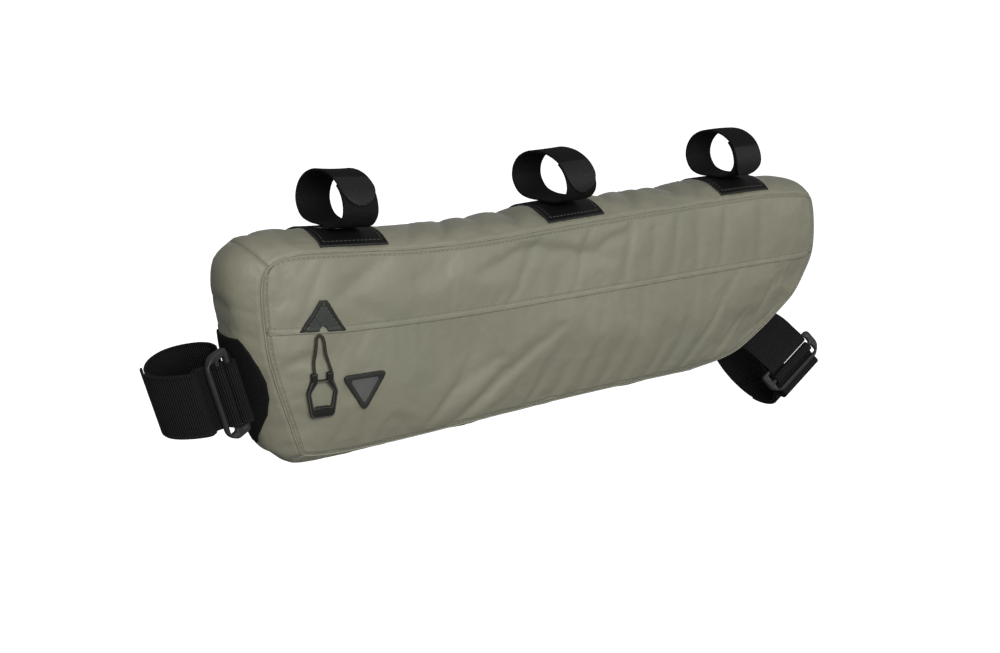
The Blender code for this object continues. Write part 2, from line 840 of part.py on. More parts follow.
def buckle(name, frame, middle, ahead, inside):
    """A ladder buckle: three bars, two slots and cut corners at its far end."""
    pitch = BUCKLE_BAR + BUCKLE_SLOT
    length = 3 * BUCKLE_BAR + 2 * BUCKLE_SLOT
    inner = WEBBING_WIDTH + 2 * BUCKLE_PLAY
    outer = inner + 2 * BUCKLE_RAIL
    half, end = outer / 2, length / 2
    small = BUCKLE_CORNER / 3
    ring = [
        (-half, -end + small), (-half + small, -end), (half - small, -end), (half, -end + small),
        (half, end - BUCKLE_CORNER), (half - BUCKLE_CORNER, end),
        (-half + BUCKLE_CORNER, end), (-half, end - BUCKLE_CORNER),
    ]
    near_slot = slot_ring(inner, BUCKLE_BAR / 2 - pitch, -BUCKLE_BAR / 2, BUCKLE_BAR / 4)
    far_slot = slot_ring(inner, BUCKLE_BAR / 2, pitch - BUCKLE_BAR / 2, BUCKLE_BAR / 4)
    made = flat_outline(name, ring, [near_slot, far_slot], BUCKLE_THICKNESS, "plastic")
    forward = (Vector((0.0, ahead.x, 0.0)) + frame.out * ahead.y).normalized()
    turn = Matrix((frame.width, forward, frame.width.cross(forward))).transposed()
    made.matrix_world = Matrix.Translation(frame.place(middle.x, middle.y)) @ turn.to_4x4()


def seat_end_place(up):
    """The place on the seat end's seam at a share of the bag's height."""
    level = bag_point(0.0, up, 0.0).z
    return OUTLINE.where(OUTLINE.seat_end, lambda p: p.z - level)


def seat_patch():
    """The patch on the seat end that the strap and its buckle holder are sewn to."""
    low, high = seat_end_place(SEAT_PATCH_LOW), seat_end_place(SEAT_PATCH_HIGH)

    def place(u, w):
        return on_gusset(low + (high - low) * u, (2 * w - 1) * SEAT_PATCH_REACH, CLOTH + SEAT_GAP)

    grid_object("seat_end_patch", 8, 8, place, "webbing", PATCH_WALL, 1.0, away_from_middle)


def end_straps():
    """The straps round the seat tube and the down tube."""
    s = seat_end_place(SEAT_STRAP_UP)
    lean = OUTLINE.tangent(s).x / OUTLINE.tangent(s).z
    frame = StrapFrame(s, CLOTH + SEAT_GAP + PATCH_WALL, -lean)
    strap_and_buckle(
        "seat_tube", frame, SEAT_STRAP_RUN, SEAT_HOLDER_RUN, SEAT_BUCKLE_AT, SEAT_BUCKLE_TURN,
        SEAT_STRAP_SPAN, SEAT_STRAP_REACH, SEAT_STRAP_TAIL,
    )
    target = DOWN_STRAP_ALONG * BODY_LENGTH - TUBE_ALONG
    s = OUTLINE.where(OUTLINE.bottom, lambda p: target - p.x)
    frame = StrapFrame(s, CLOTH, 0.0)
    strap_and_buckle(
        "down_tube", frame, DOWN_STRAP_RUN, DOWN_HOLDER_RUN, DOWN_BUCKLE_AT, DOWN_BUCKLE_TURN,
        DOWN_STRAP_SPAN, DOWN_STRAP_REACH, DOWN_STRAP_TAIL,
    )


def badge():
    """A plain rubber triangle, point down, with a raised rim."""
    mesh = bpy.data.meshes.new("badge")
    plate = bmesh.new()
    half, low, cut = BADGE_WIDTH / 2, -BADGE_HEIGHT / 2, BADGE_CORNER
    top = BADGE_HEIGHT / 2
    ring = (
        (-half, top - cut / 2), (-half + cut * 0.6, top), (half - cut * 0.6, top),
        (half, top - cut / 2), (cut * 0.4, low), (-cut * 0.4, low),
    )
    face = plate.faces.new([plate.verts.new((x, 0.0, z)) for x, z in ring])
    lid = bmesh.ops.extrude_face_region(plate, geom=[face])
    moved = [part for part in lid["geom"] if isinstance(part, bmesh.types.BMVert)]
    bmesh.ops.translate(plate, verts=moved, vec=(0.0, -BADGE_THICKNESS, 0.0))
    front = next(part for part in lid["geom"] if isinstance(part, bmesh.types.BMFace))
    bmesh.ops.inset_region(plate, faces=[front], thickness=BADGE_RIM)
    bmesh.ops.translate(plate, verts=front.verts, vec=(0.0, BADGE_RECESS, 0.0))
    bmesh.ops.recalc_face_normals(plate, faces=plate.faces)
    plate.to_mesh(mesh)
    plate.free()
    made = add_object("badge", mesh, "rubber")
    place_flat(made, BADGE_ALONG, -BADGE_BELOW_ZIP, CLOTH + SEAT_GAP)


def place_flat(made, along, up, lift):
    """Lays a flat piece, modelled in XZ, on the front's cloth."""
    centre = front_place(along, up, lift)
    reach = 0.006
    right = front_place(along + reach, up, lift) - front_place(along - reach, up, lift)
    rise = front_place(along, up + reach, lift) - front_place(along, up - reach, lift)
    right.normalize()
    back = rise.cross(right).normalized() * -1.0
    if back.y < 0:
        back = -back
    up_axis = right.cross(back)
    if up_axis.z < 0:
        up_axis = -up_axis
    turn = Matrix((right, back, up_axis)).transposed()
    made.matrix_world = Matrix.Translation(centre) @ turn.to_4x4()


def slider():
    """The zip's slider, a plain piece under the garage that the cord passes in front of."""
    mesh = bpy.data.meshes.new("zip_slider")
    block = bmesh.new()
    bmesh.ops.create_cube(block, size=1.0)
    bmesh.ops.scale(block, vec=(SLIDER_WIDTH, SLIDER_THICKNESS, SLIDER_HEIGHT), verts=block.verts)
    block.to_mesh(mesh)
    block.free()
    made = add_object("zip_slider", mesh, "plastic")
    place_flat(made, SLIDER_ALONG, 0.0, -(SLIDER_THICKNESS / 2 + SEAT_GAP))


def cord():
    """The cord through the slider, from one socket of the pull to the other."""
    points = [front_place(along, up, CLOTH + out) for along, up, out in CORD_ROUTE]
    route = Smooth(points)
    count = round(route.length / (2.2 * CORD_DIAMETER))
    data = bpy.data.curves.new("zip_pull_cord", "CURVE")
    data.dimensions = "3D"
    data.bevel_depth = CORD_DIAMETER / 2
    data.bevel_resolution = 2
    data.use_fill_caps = True
    spline = data.splines.new("POLY")
    spline.points.add(count)
    for i, point in enumerate(spline.points):
        point.co = (*route(i / count), 1.0)
    add_object("zip_pull_cord", data, "cord")


def pull():
    """The moulded pull: two sockets for the cord, an open six-sided frame and a solid foot."""
    half, length, rim = PULL_WIDTH / 2, PULL_LENGTH, PULL_RIM
    socket = PULL_SOCKET
    inner = PULL_WIDTH / 2 - rim
    neck = 0.0030
    ring = [
        (-neck - socket, 0.0), (-neck, 0.0), (-neck, -length * 0.16), (-inner, -length * 0.40),
        (-inner * 0.72, -length * 0.74), (inner * 0.72, -length * 0.74), (inner, -length * 0.40),
        (neck, -length * 0.16), (neck, 0.0), (neck + socket, 0.0), (neck + socket, -length * 0.16),
        (half, -length * 0.40), (half * 0.78, -length * 0.94), (half * 0.62, -length),
        (-half * 0.62, -length), (-half * 0.78, -length * 0.94), (-half, -length * 0.40),
        (-neck - socket, -length * 0.16),
    ]
    made = flat_outline("zip_pull", ring, [], PULL_THICKNESS, "plastic")
    lift = CLOTH + SEAT_GAP * 3 + PULL_THICKNESS / 2
    place_flat(made, PULL_ALONG, -PULL_BELOW_ZIP - length / 2, lift)
    stand = Matrix.Rotation(math.pi / 2, 4, "X")
    made.matrix_world = made.matrix_world @ Matrix.Translation((0.0, 0.0, length / 2)) @ stand


def main():
    for found in list(bpy.data.objects):
        bpy.data.objects.remove(found)
    bpy.context.scene.collection.children.link(bpy.data.collections.new(COLLECTION))
    panels()
    welt()
    garage()
    top_patches()
    top_loops()
    seat_patch()
    end_straps()
    badge()
    slider()
    cord()
    pull()


main()
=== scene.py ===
# %% [markdown]
# This lesson dresses a bicycle frame bag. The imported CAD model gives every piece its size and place;
# here each piece gets the shape and the finish that the eye sees, and it stays where the CAD has it.

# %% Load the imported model
import math

import bmesh
import bpy
import numpy as np
from mathutils import Matrix, Vector
from mathutils.bvhtree import BVHTree


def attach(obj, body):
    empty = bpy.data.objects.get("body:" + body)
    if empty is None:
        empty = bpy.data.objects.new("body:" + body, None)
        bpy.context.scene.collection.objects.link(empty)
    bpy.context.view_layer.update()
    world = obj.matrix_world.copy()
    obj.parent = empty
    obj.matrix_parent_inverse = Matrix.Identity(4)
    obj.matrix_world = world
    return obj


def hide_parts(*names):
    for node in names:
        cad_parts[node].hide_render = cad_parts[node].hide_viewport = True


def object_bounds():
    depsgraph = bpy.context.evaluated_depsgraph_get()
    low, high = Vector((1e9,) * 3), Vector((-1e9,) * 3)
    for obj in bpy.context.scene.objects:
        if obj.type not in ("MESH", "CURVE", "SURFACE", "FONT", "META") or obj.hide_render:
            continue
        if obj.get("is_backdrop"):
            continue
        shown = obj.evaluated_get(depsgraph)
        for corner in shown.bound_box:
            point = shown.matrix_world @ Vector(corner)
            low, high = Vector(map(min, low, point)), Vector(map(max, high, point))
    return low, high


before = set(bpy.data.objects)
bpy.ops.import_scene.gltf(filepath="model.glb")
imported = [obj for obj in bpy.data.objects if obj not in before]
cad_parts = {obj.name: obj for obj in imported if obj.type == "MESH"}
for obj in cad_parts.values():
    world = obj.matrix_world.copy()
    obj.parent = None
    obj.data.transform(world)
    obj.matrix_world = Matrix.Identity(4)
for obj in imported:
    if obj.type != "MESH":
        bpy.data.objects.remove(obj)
cad_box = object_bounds()
print("nodes", len(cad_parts), "box", cad_box)

# %% [markdown]
# The camera comes first, so that each piece can be looked at as soon as it is made. It stands to the
# front and left of the bag, a little above it, where the photographer stood. A lens of 52 mm keeps
# the bag's far end only a little smaller than its near end.

# %% Place the camera
CAMERA_PLACE = Vector((-0.61850, -0.81572, 0.16300))
CAMERA_AHEAD = Vector((0.55403, 0.79124, -0.25882))
CAMERA_RIGHT = Vector((0.81915, -0.57358, 0.0))
CAMERA_LENS = 52.38


def look_from(place, ahead, right, lens):
    made = bpy.data.cameras.new("photo_camera")
    made.lens, made.sensor_width = lens, 36.0
    body = bpy.data.objects.new("photo_camera", made)
    bpy.context.scene.collection.objects.link(body)
    turn = Matrix((right, right.cross(ahead), -ahead)).transposed().to_4x4()
    body.matrix_world = Matrix.Translation(place) @ turn
    bpy.context.scene.camera = body
    return body


camera = look_from(CAMERA_PLACE, CAMERA_AHEAD, CAMERA_RIGHT, CAMERA_LENS)
print("camera lens", camera.data.lens)

# %% [markdown]
# Finishes are built from shader nodes. Adding nodes by hand in code is long, so one small class wraps
# a node's output and gives it Python's own signs: writing 1 - mask adds the Subtract node.

# %% Write shader maths with Python's signs
class Value:
    """A node's output that Python's signs work on."""

    def __init__(self, finish, socket):
        self.finish, self.socket = finish, socket

    def maths(self, operation, *terms):
        return self.finish.node(
            "ShaderNodeMath", {"operation": operation}, dict(enumerate(terms))
        )

    def __add__(self, other):
        return self.maths("ADD", self, other)

    __radd__ = __add__

    def __sub__(self, other):
        return self.maths("SUBTRACT", self, other)

    def __rsub__(self, other):
        return self.maths("SUBTRACT", other, self)

    def __mul__(self, other):
        return self.maths("MULTIPLY", self, other)

    __rmul__ = __mul__

    def __truediv__(self, other):
        return self.maths("DIVIDE", self, other)

    def __lt__(self, other):
        return self.maths("LESS_THAN", self, other)

    def waves(self, pitch):
        """A sine from -1 to 1, with that many metres from crest to crest."""
        return self.maths("SINE", self * (2 * math.pi / pitch))

    def absolute(self):
        return self.maths("ABSOLUTE", self)

    def fraction(self):
        return self.maths("FRACT", self)

    def steps(self, low, high):
        """0 below low, 1 above high and smooth between."""
        return self.finish.node(
            "ShaderNodeMapRange", {"interpolation_type": "SMOOTHSTEP"},
            {"Value": self, "From Min": low, "From Max": high},
        )


class Finish:
    """A material, its shader and the nodes that feed it."""

    def __init__(self, name, color, roughness, **fixed):
        self.material = bpy.data.materials.new(name)
        self.material.use_nodes = True
        self.tree = self.material.node_tree
        self.shader = self.tree.nodes["Principled BSDF"]
        self.shader.inputs["Base Color"].default_value = (*color, 1.0)
        self.shader.inputs["Roughness"].default_value = roughness
        for key, value in fixed.items():
            self.shader.inputs[key.replace("_", " ")].default_value = value
        self.material.diffuse_color = (*color, 1.0)

    def node(self, kind, settings=None, inputs=None, output=0):
        made = self.tree.nodes.new(kind)
        for key, value in (settings or {}).items():
            setattr(made, key, value)
        for key, value in (inputs or {}).items():
            if isinstance(value, Value):
                self.tree.links.new(value.socket, made.inputs[key])
            else:
                made.inputs[key].default_value = value
        return Value(self, made.outputs[output])

    def feed(self, name, value):
        self.tree.links.new(value.socket, self.shader.inputs[name])

    def place(self):
        return self.node("ShaderNodeTexCoord", output="Object")

    def along_across(self):
        """The piece's own map, in metres: along its length and across it."""
        split = self.node("ShaderNodeSeparateXYZ", inputs={0: self.node("ShaderNodeTexCoord", output="UV")})
        return split, Value(self, split.socket.node.outputs[1])

    def noise(self, size, detail=2.0, rough=0.5):
        """Cloudy values from 0 to 1, with clouds about that many metres wide."""
        return self.node(
            "ShaderNodeTexNoise", None,
            {"Vector": self.place(), "Scale": 1.0 / size, "Detail": detail, "Roughness": rough},
        )

    def mix(self, factor, first, second):
        made = self.tree.nodes.new("ShaderNodeMix")
        made.data_type = "RGBA"
        for key, value in ((0, factor), (6, first), (7, second)):
            if isinstance(value, Value):
                self.tree.links.new(value.socket, made.inputs[key])
            elif key == 0:
                made.inputs[key].default_value = value
            else:
                made.inputs[key].default_value = (*value, 1.0)
        return Value(self, made.outputs[2])

    def bump(self, *layers):
        """Feeds Normal with (height, depth in metres) layers, one bump after the other."""
        normal = None
        for height, depth in layers:
            inputs = {"Height": height, "Distance": depth, "Strength": 1.0}
            if normal:
                inputs["Normal"] = normal
            normal = self.node("ShaderNodeBump", None, inputs)
        self.feed("Normal", normal)


# %% [markdown]
# The bag's cloth is a coated olive-grey weave with a satin sheen. Its colour clouds a little from warm
# to cool, its weave is a fine lattice, and a line of stitching follows each seam. The stitching reads
# two attributes that the panels carry: the distance to the nearest seam and the way along it.

# %% Finish the cloth
CLOTH_WARM = (0.272, 0.262, 0.192)
CLOTH_COOL = (0.228, 0.228, 0.172)
CLOTH_THREAD = (0.115, 0.115, 0.088)
STITCH_INSET, STITCH_PITCH, STITCH_SHARE, THREAD_HALF = 0.0026, 0.0034, 0.68, 0.00022
WEAVE_PITCH = 0.0011


def cloth_finish(name):
    cloth = Finish(name, CLOTH_WARM, 0.52, Sheen_Weight=0.15, Sheen_Roughness=0.4)
    clouds = cloth.noise(0.075, 3.0).steps(0.36, 0.66)
    fine = cloth.noise(0.0016, 2.0)
    color = cloth.mix(clouds * 0.7, CLOTH_WARM, CLOTH_COOL)
    color = cloth.mix(fine * 0.22, color, CLOTH_COOL)
    seam = cloth.node("ShaderNodeAttribute", {"attribute_name": "seam_distance"}, output="Fac")
    run = cloth.node("ShaderNodeAttribute", {"attribute_name": "seam_run"}, output="Fac")
    off_stitches = (seam - STITCH_INSET).absolute()
    row = 1 - (off_stitches - THREAD_HALF).steps(0.0, 0.0003)
    dash = (run / STITCH_PITCH).fraction() < STITCH_SHARE
    thread = row * dash
    cloth.feed("Base Color", cloth.mix(thread * 0.5, color, CLOTH_THREAD))
    along, across = cloth.along_across()
    weave = along.waves(WEAVE_PITCH) * across.waves(WEAVE_PITCH)
    groove = 1 - off_stitches.steps(0.0003, 0.0013)
    cloth.bump(
        (weave, 0.00002),
        (cloth.noise(0.006, 3.0), 0.0004),
        (groove * -1.0, 0.0004),
        (thread, 0.0002),
    )
    cloth.feed("Roughness", 0.50 + clouds * 0.06 + thread * 0.2)
    return cloth.material


cloth = cloth_finish("olive_cloth")
print("finish", cloth.name)

# %% [markdown]
# The black and grey parts: ribbed webbing, hook-and-loop tape, coated patches, moulded rubber and
# plastic. Each has its own relief, because black pieces are told apart only by their gloss and relief.

# %% Finish the webbing and the tape
RIB_PITCH, TWILL_PITCH, WEBBING_EDGE = 0.0013, 0.0017, 0.0185


def webbing_finish(name):
    web = Finish(name, (0.010, 0.010, 0.010), 0.62, Specular_IOR_Level=0.22)
    along, across = web.along_across()
    ribs = along.waves(RIB_PITCH)
    twill = (along + across).waves(TWILL_PITCH)
    edge = (across.absolute() - WEBBING_EDGE).steps(0.0, 0.0012)
    # Painted shade: the webbing's colour is darker in the troughs between the ribs and lighter on their
    # crests, following the ribs' relief.
    shade = web.mix(ribs.steps(-0.2, 1.0) * 0.6, (0.002, 0.002, 0.002), (0.028, 0.028, 0.029))
    web.feed("Base Color", shade)
    web.feed("Roughness", 0.60 + ribs * 0.08)
    web.bump((ribs, 0.00022), (twill, 0.00002), (web.noise(0.02), 0.0004), (edge, 0.0002))
    return web.material


def tape_finish(name, color, relief, roughness):
    tape = Finish(name, color, roughness, Specular_IOR_Level=0.2)
    lint = tape.noise(0.0009, 3.0, 0.7)
    lighter = tuple(3.2 * channel for channel in color)
    tape.feed("Base Color", tape.mix(lint.steps(0.45, 0.8), color, lighter))
    tape.bump((lint, relief), (tape.noise(0.012), 0.0006))
    return tape.material


webbing = webbing_finish("black_webbing")
felt_tape = tape_finish("felt_tape", (0.005, 0.005, 0.005), 0.0002, 0.80)
print("finishes", webbing.name, felt_tape.name)

# %% [markdown]
# The moulded pieces share one finish with other colours and another gloss: soft clouds that lighten
# the colour a little and a fine grain. The cord is a braid, whose strands cross in two directions, so
# two rows of waves are multiplied.

# %% Finish the rubber, the plastic and the cord
BRAID_PITCH = 0.0016


def moulded_finish(name, color, roughness, grain, relief):
    moulded = Finish(name, color, roughness, Specular_IOR_Level=0.35)
    clouds = moulded.noise(0.02, 3.0)
    lighter = tuple(1.6 * channel for channel in color)
    moulded.feed("Base Color", moulded.mix(clouds.steps(0.35, 0.75) * 0.4, color, lighter))
    moulded.feed("Roughness", roughness - 0.05 + clouds * 0.12)
    moulded.bump((moulded.noise(grain, 2.0), relief), (moulded.noise(0.012), 0.0002))
    return moulded.material


dark_rubber = moulded_finish("dark_rubber", (0.026, 0.027, 0.024), 0.55, 0.0007, 0.00010)
grey_rubber = moulded_finish("grey_rubber", (0.100, 0.101, 0.098), 0.60, 0.0007, 0.00010)
# A lighter plastic for the thin ridges along the pull's edges: a painted highlight.
pull_rim_highlight = moulded_finish("pull_rim_highlight_plastic", (0.070, 0.070, 0.062), 0.40, 0.0006, 0.00004)
plastic = moulded_finish("black_plastic", (0.030, 0.030, 0.031), 0.38, 0.0006, 0.00004)
pull_plastic = moulded_finish("pull_plastic", (0.016, 0.016, 0.015), 0.38, 0.0006, 0.00004)


def cord_finish(name):
    braid = Finish(name, (0.060, 0.056, 0.038), 0.80)
    along, across = braid.along_across()
    strands = (along + across).waves(BRAID_PITCH) * (along - across).waves(BRAID_PITCH)
    # Painted shade: the braid's colour is darker in the hollows between the strands and lighter on the
    # strands, following the bump's relief.
    shade = braid.mix(strands.steps(-0.6, 0.8), (0.030, 0.028, 0.018), (0.105, 0.098, 0.066))
    braid.feed("Base Color", shade)
    braid.bump((strands, 0.00012))
    return braid.material


braid = cord_finish("cord_braid")
print("finishes", grey_rubber.name, plastic.name, braid.name)

# %% [markdown]
# The shell is sewn from a front in two parts, a back and four gussets, which meet on two seams. The
# same seam lines that the CAD uses are given here as shares of the bag's length, height and half
# width, with the gusset's swell beyond its seams, so the fine cloth lies where the CAD's plain cloth
# does. A smooth curve runs through them.

# %% The seam lines
LENGTH, HEIGHT, WIDTH = 0.480, 0.130, 0.060
CLOTH_WALL = 0.0012
FRONT_FULLNESS, BACK_FULLNESS = 0.0075, 0.0055
SWELL = 0.0100
TUBE_ALONG = 0.508 * LENGTH
TUBE_HEIGHT = 0.15940
ZIP_LEVEL = 0.620
SEAMS = {
    # along, up, out, swell
    "seat_end": (
        (0.056, 0.018, 0.72, 0.95), (0.047, 0.085, 0.76, 1.55), (0.038, 0.185, 0.79, 1.60),
        (0.027, 0.305, 0.82, 1.55), (0.017, 0.425, 0.84, 1.50), (0.008, 0.560, 0.85, 1.50),
        (0.005, 0.672, 0.85, 1.50), (0.003, 0.780, 0.85, 1.60), (0.003, 0.870, 0.85, 1.80),
        (0.006, 0.935, 0.85, 1.85),
    ),
    "top": (
        (0.014, 0.978, 0.86, 1.50), (0.032, 1.012, 0.88, 1.10), (0.058, 1.022, 0.90, 0.92),
        (0.104, 1.012, 0.93, 0.88), (0.160, 0.996, 0.93, 0.90), (0.230, 0.974, 0.93, 0.95),
        (0.344, 0.966, 0.93, 1.00), (0.483, 0.984, 0.93, 1.00), (0.625, 0.996, 0.93, 1.00),
        (0.780, 1.005, 0.93, 1.00), (0.871, 1.007, 0.92, 0.98), (0.940, 0.992, 0.90, 0.95),
    ),
    "head_end": (
        (0.988, 0.957, 0.86, 0.90), (0.996, 0.900, 0.86, 0.80), (1.001, 0.820, 0.85, 0.65),
        (1.004, 0.710, 0.84, 0.60), (1.002, 0.605, 0.83, 0.60), (0.989, 0.500, 0.82, 0.60),
    ),
    "bottom": (
        (0.966, 0.370, 0.80, 0.60), (0.925, 0.255, 0.79, 0.60), (0.896, 0.180, 0.77, 0.60),
        (0.838, 0.070, 0.75, 0.55), (0.754, 0.025, 0.74, 0.50), (0.625, 0.020, 0.74, 0.50),
        (0.481, 0.015, 0.74, 0.50), (0.321, -0.001, 0.74, 0.50), (0.225, -0.011, 0.73, 0.50),
        (0.125, -0.013, 0.72, 0.55), (0.082, -0.002, 0.72, 0.75),
    ),
}
ZIP_LINE = (
    (0.005, 0.664), (0.051, 0.655), (0.116, 0.635), (0.190, 0.622), (0.331, 0.610),
    (0.481, 0.608), (0.732, 0.612), (0.872, 0.613), (0.999, 0.603),
)


class Smooth:
    """A smooth curve through points, at places from 0 to 1, for many places at once."""

    def __init__(self, points, closed=False):
        knots = np.array(points, float)
        self.closed = closed
        if closed:
            knots = np.vstack([knots, knots[:1]])
        steps = np.linalg.norm(np.diff(knots[:, :3], axis=0), axis=1)
        self.marks = np.concatenate([[0.0], np.cumsum(steps)])
        self.length = self.marks[-1]
        before, after = np.roll(knots, 1, 0), np.roll(knots, -1, 0)
        gaps = np.roll(self.marks, -1) - np.roll(self.marks, 1)
        if closed:
            before[0], after[-1] = knots[-2], knots[1]
            gaps[0] = gaps[-1] = steps[0] + steps[-1]
        else:
            before[0], after[-1] = knots[0], knots[-1]
            gaps[0], gaps[-1] = steps[0], steps[-1]
        self.knots, self.slopes = knots, (after - before) / gaps[:, None]

    def __call__(self, t):
        t = np.asarray(t, float)
        where = (t % 1.0 if self.closed else np.clip(t, 0.0, 1.0)) * self.length
        i = np.clip(np.searchsorted(self.marks, where, side="right") - 1, 0, len(self.knots) - 2)
        size = (self.marks[i + 1] - self.marks[i])[..., None]
        f = (where - self.marks[i])[..., None] / size
        return (
            self.knots[i] * (1 + 2 * f) * (1 - f) ** 2
            + self.slopes[i] * size * f * (1 - f) ** 2
            + self.knots[i + 1] * f * f * (3 - 2 * f)
            + self.slopes[i + 1] * size * f * f * (f - 1)
        )


def bag_points(rows):
    rows = np.array(rows, float)
    out = rows[:, 2] if rows.shape[1] > 2 else np.zeros(len(rows))
    x, z = rows[:, 0] * LENGTH - TUBE_ALONG, rows[:, 1] * HEIGHT - TUBE_HEIGHT
    return np.stack([x, -out * WIDTH / 2, z], 1)


seam_rows = [row for side in SEAMS.values() for row in side]
seam = Smooth(bag_points(seam_rows), closed=True)
starts = np.cumsum([0] + [len(side) for side in SEAMS.values()])
marks = seam.marks[starts] / seam.length
SPANS = dict(zip(SEAMS, zip(marks, marks[1:])))
swell_marks = seam.marks / seam.length
swells = np.array([row[3] for row in seam_rows] + [seam_rows[0][3]]) * SWELL
print("front seam length", round(float(seam.length), 4))

# %% [markdown]
# Each panel is a surface between its seam curves. The front and the back swell outwards between the
# seams and the cloth has soft furrows: low diagonal ones near the seat end, scalloped ones under the
# top seam and short puckers along the bottom. A table gives the place of each furrow as shares of its
# panel, its direction in degrees, its half length and half width as shares of the bag's height, and
# its depth as a number of times FOLD_DEPTH. A negative depth is a ridge.

# %% The panels' surfaces
LOWER_FOLDS = (
    (0.285, 0.42, 24, 0.30, 0.060, 3.0), (0.335, 0.30, 30, 0.26, 0.045, 2.4),
    (0.062, 0.13, 62, 0.22, 0.050, 2.2), (0.300, 0.20, 34, 0.22, 0.040, 2.0),
    (0.325, 0.58, 20, 0.20, 0.045, -1.2), (0.235, 0.22, 40, 0.18, 0.040, 1.8),
    (0.045, 0.80, 10, 0.20, 0.045, 2.0), (0.110, 0.18, 74, 0.14, 0.040, 1.4),
    (0.400, 0.10, 52, 0.16, 0.040, 1.8), (0.455, 0.14, 60, 0.20, 0.045, 1.9),
    (0.500, 0.10, 68, 0.22, 0.050, 2.2), (0.545, 0.16, 58, 0.20, 0.040, 1.6),
    (0.590, 0.12, 72, 0.22, 0.050, 2.1), (0.640, 0.12, 60, 0.18, 0.040, 1.7),
    (0.680, 0.14, 64, 0.24, 0.050, 2.3), (0.730, 0.20, 52, 0.18, 0.040, 1.6),
    (0.760, 0.40, 58, 0.30, 0.060, 2.0), (0.830, 0.36, 48, 0.20, 0.045, 1.5),
    (0.600, 0.62, 16, 0.26, 0.060, 1.3), (0.500, 0.50, 10, 0.30, 0.070, -0.9),
    (0.420, 0.62, 26, 0.24, 0.050, 1.4), (0.900, 0.60, 70, 0.20, 0.050, 1.4),
)
UPPER_FOLDS = (
    (0.370, 0.66, 14, 0.22, 0.042, 2.6), (0.480, 0.64, -12, 0.30, 0.045, 3.0),
    (0.560, 0.68, 18, 0.22, 0.042, 2.4), (0.425, 0.74, 50, 0.16, 0.036, 1.8),
    (0.520, 0.72, 64, 0.16, 0.036, 1.8), (0.600, 0.66, 72, 0.20, 0.040, 2.2),
    (0.645, 0.60, 80, 0.24, 0.042, 2.4), (0.690, 0.62, 78, 0.22, 0.040, 1.9),
    (0.735, 0.58, 84, 0.26, 0.045, 2.5), (0.790, 0.60, 76, 0.20, 0.040, 1.6),
    (0.130, 0.60, 30, 0.24, 0.045, 1.7), (0.250, 0.62, 12, 0.24, 0.050, 1.5),
    (0.620, 0.30, 20, 0.12, 0.060, 1.8), (0.330, 0.30, 8, 0.30, 0.060, -0.9),
    (0.870, 0.52, 82, 0.24, 0.050, 1.4), (0.060, 0.42, 64, 0.20, 0.045, 1.6),
)
TOP_FOLDS = (
    (0.235, 0.35, 56, 0.20, 0.060, 2.0), (0.300, 0.45, 62, 0.24, 0.060, 2.9),
    (0.360, 0.62, 74, 0.24, 0.055, 2.4), (0.425, 0.60, 70, 0.26, 0.060, 3.2),
    (0.600, 0.55, 58, 0.22, 0.050, 2.2), (0.640, 0.40, 66, 0.28, 0.060, 2.8),
    (0.690, 0.60, 78, 0.24, 0.050, 2.2), (0.730, 0.58, 74, 0.24, 0.060, 2.9),
    (0.780, 0.40, 60, 0.20, 0.050, 2.0), (0.930, 0.45, 58, 0.22, 0.060, 2.2),
    (0.060, 0.50, 60, 0.20, 0.060, 1.8),
)
FOLD_DEPTH = 0.00072
END_FADE, FULLNESS_POWER, SWELL_POWER = 0.11, 3.2, 2.6
LOOP_ALONG = (0.138, 0.508, 0.845)
PATCH_CLEAR, PATCH_FADE = 0.06, 0.03
CURVE_STEP = 0.002


def side_of(name, backwards=False, low=None, high=None):
    a, b = SPANS[name]
    a, b = (a if low is None else low), (b if high is None else high)
    return (lambda t: seam(b + (a - b) * t)) if backwards else (lambda t: seam(a + (b - a) * t))


def coons(low, high, left, right):
    """The surface between four edge curves."""
    corners = [curve(np.array(t, float)) for curve in (low, high) for t in (0.0, 1.0)]

    def at(u, w):
        u3, w3 = u[..., None], w[..., None]
        ruled = low(u) * (1 - w3) + high(u) * w3 + left(w) * (1 - u3) + right(w) * u3
        flat = (corners[0] * (1 - u3) + corners[1] * u3) * (1 - w3)
        return ruled - flat - (corners[2] * (1 - u3) + corners[3] * u3) * w3

    return at


def furrows(rows, u, w, height):
    total = np.zeros_like(u)
    for along, up, direction, half_length, half_width, depth in rows:
        dx, dz, turn = (u - along) * LENGTH, (w - up) * height, math.radians(direction)
        run = (dx * math.cos(turn) + dz * math.sin(turn)) / (half_length * HEIGHT)
        side = (dz * math.cos(turn) - dx * math.sin(turn)) / (half_width * HEIGHT)
        total += depth * FOLD_DEPTH * np.exp(-run * run - side * side)
    return total


def ramp(u):
    return 1 - (1 - np.minimum(np.minimum(u, 1 - u) / END_FADE, 1.0)) ** 2


def fullness(u, level):
    return ramp(u) * (1 - np.abs(2 * level - 1) ** FULLNESS_POWER)


def crossing(name, test):
    """Where a rising measure of the seam passes zero on one side."""
    low, high = SPANS[name]
    for _ in range(40):
        middle = (low + high) / 2
        low, high = (middle, high) if test(seam(middle)) < 0 else (low, middle)
    return low


zip_knots = bag_points(ZIP_LINE)
zip_run = Smooth(zip_knots)
zip_seat = crossing("seat_end", lambda p: p[2] - zip_knots[0, 2])
zip_head = crossing("head_end", lambda p: zip_knots[-1, 2] - p[2])


def zip_edge(u):
    u3 = np.asarray(u, float)[..., None]
    shift = (seam(zip_seat) - zip_knots[0]) * (1 - u3) + (seam(zip_head) - zip_knots[-1]) * u3
    return zip_run(u) + shift


below = coons(
    side_of("bottom", True), zip_edge,
    side_of("seat_end", high=zip_seat), side_of("head_end", True, low=zip_head),
)
above = coons(
    zip_edge, side_of("top"),
    side_of("seat_end", low=zip_seat), side_of("head_end", True, high=zip_head),
)
behind = coons(side_of("bottom", True), side_of("top"), side_of("seat_end"), side_of("head_end", True))


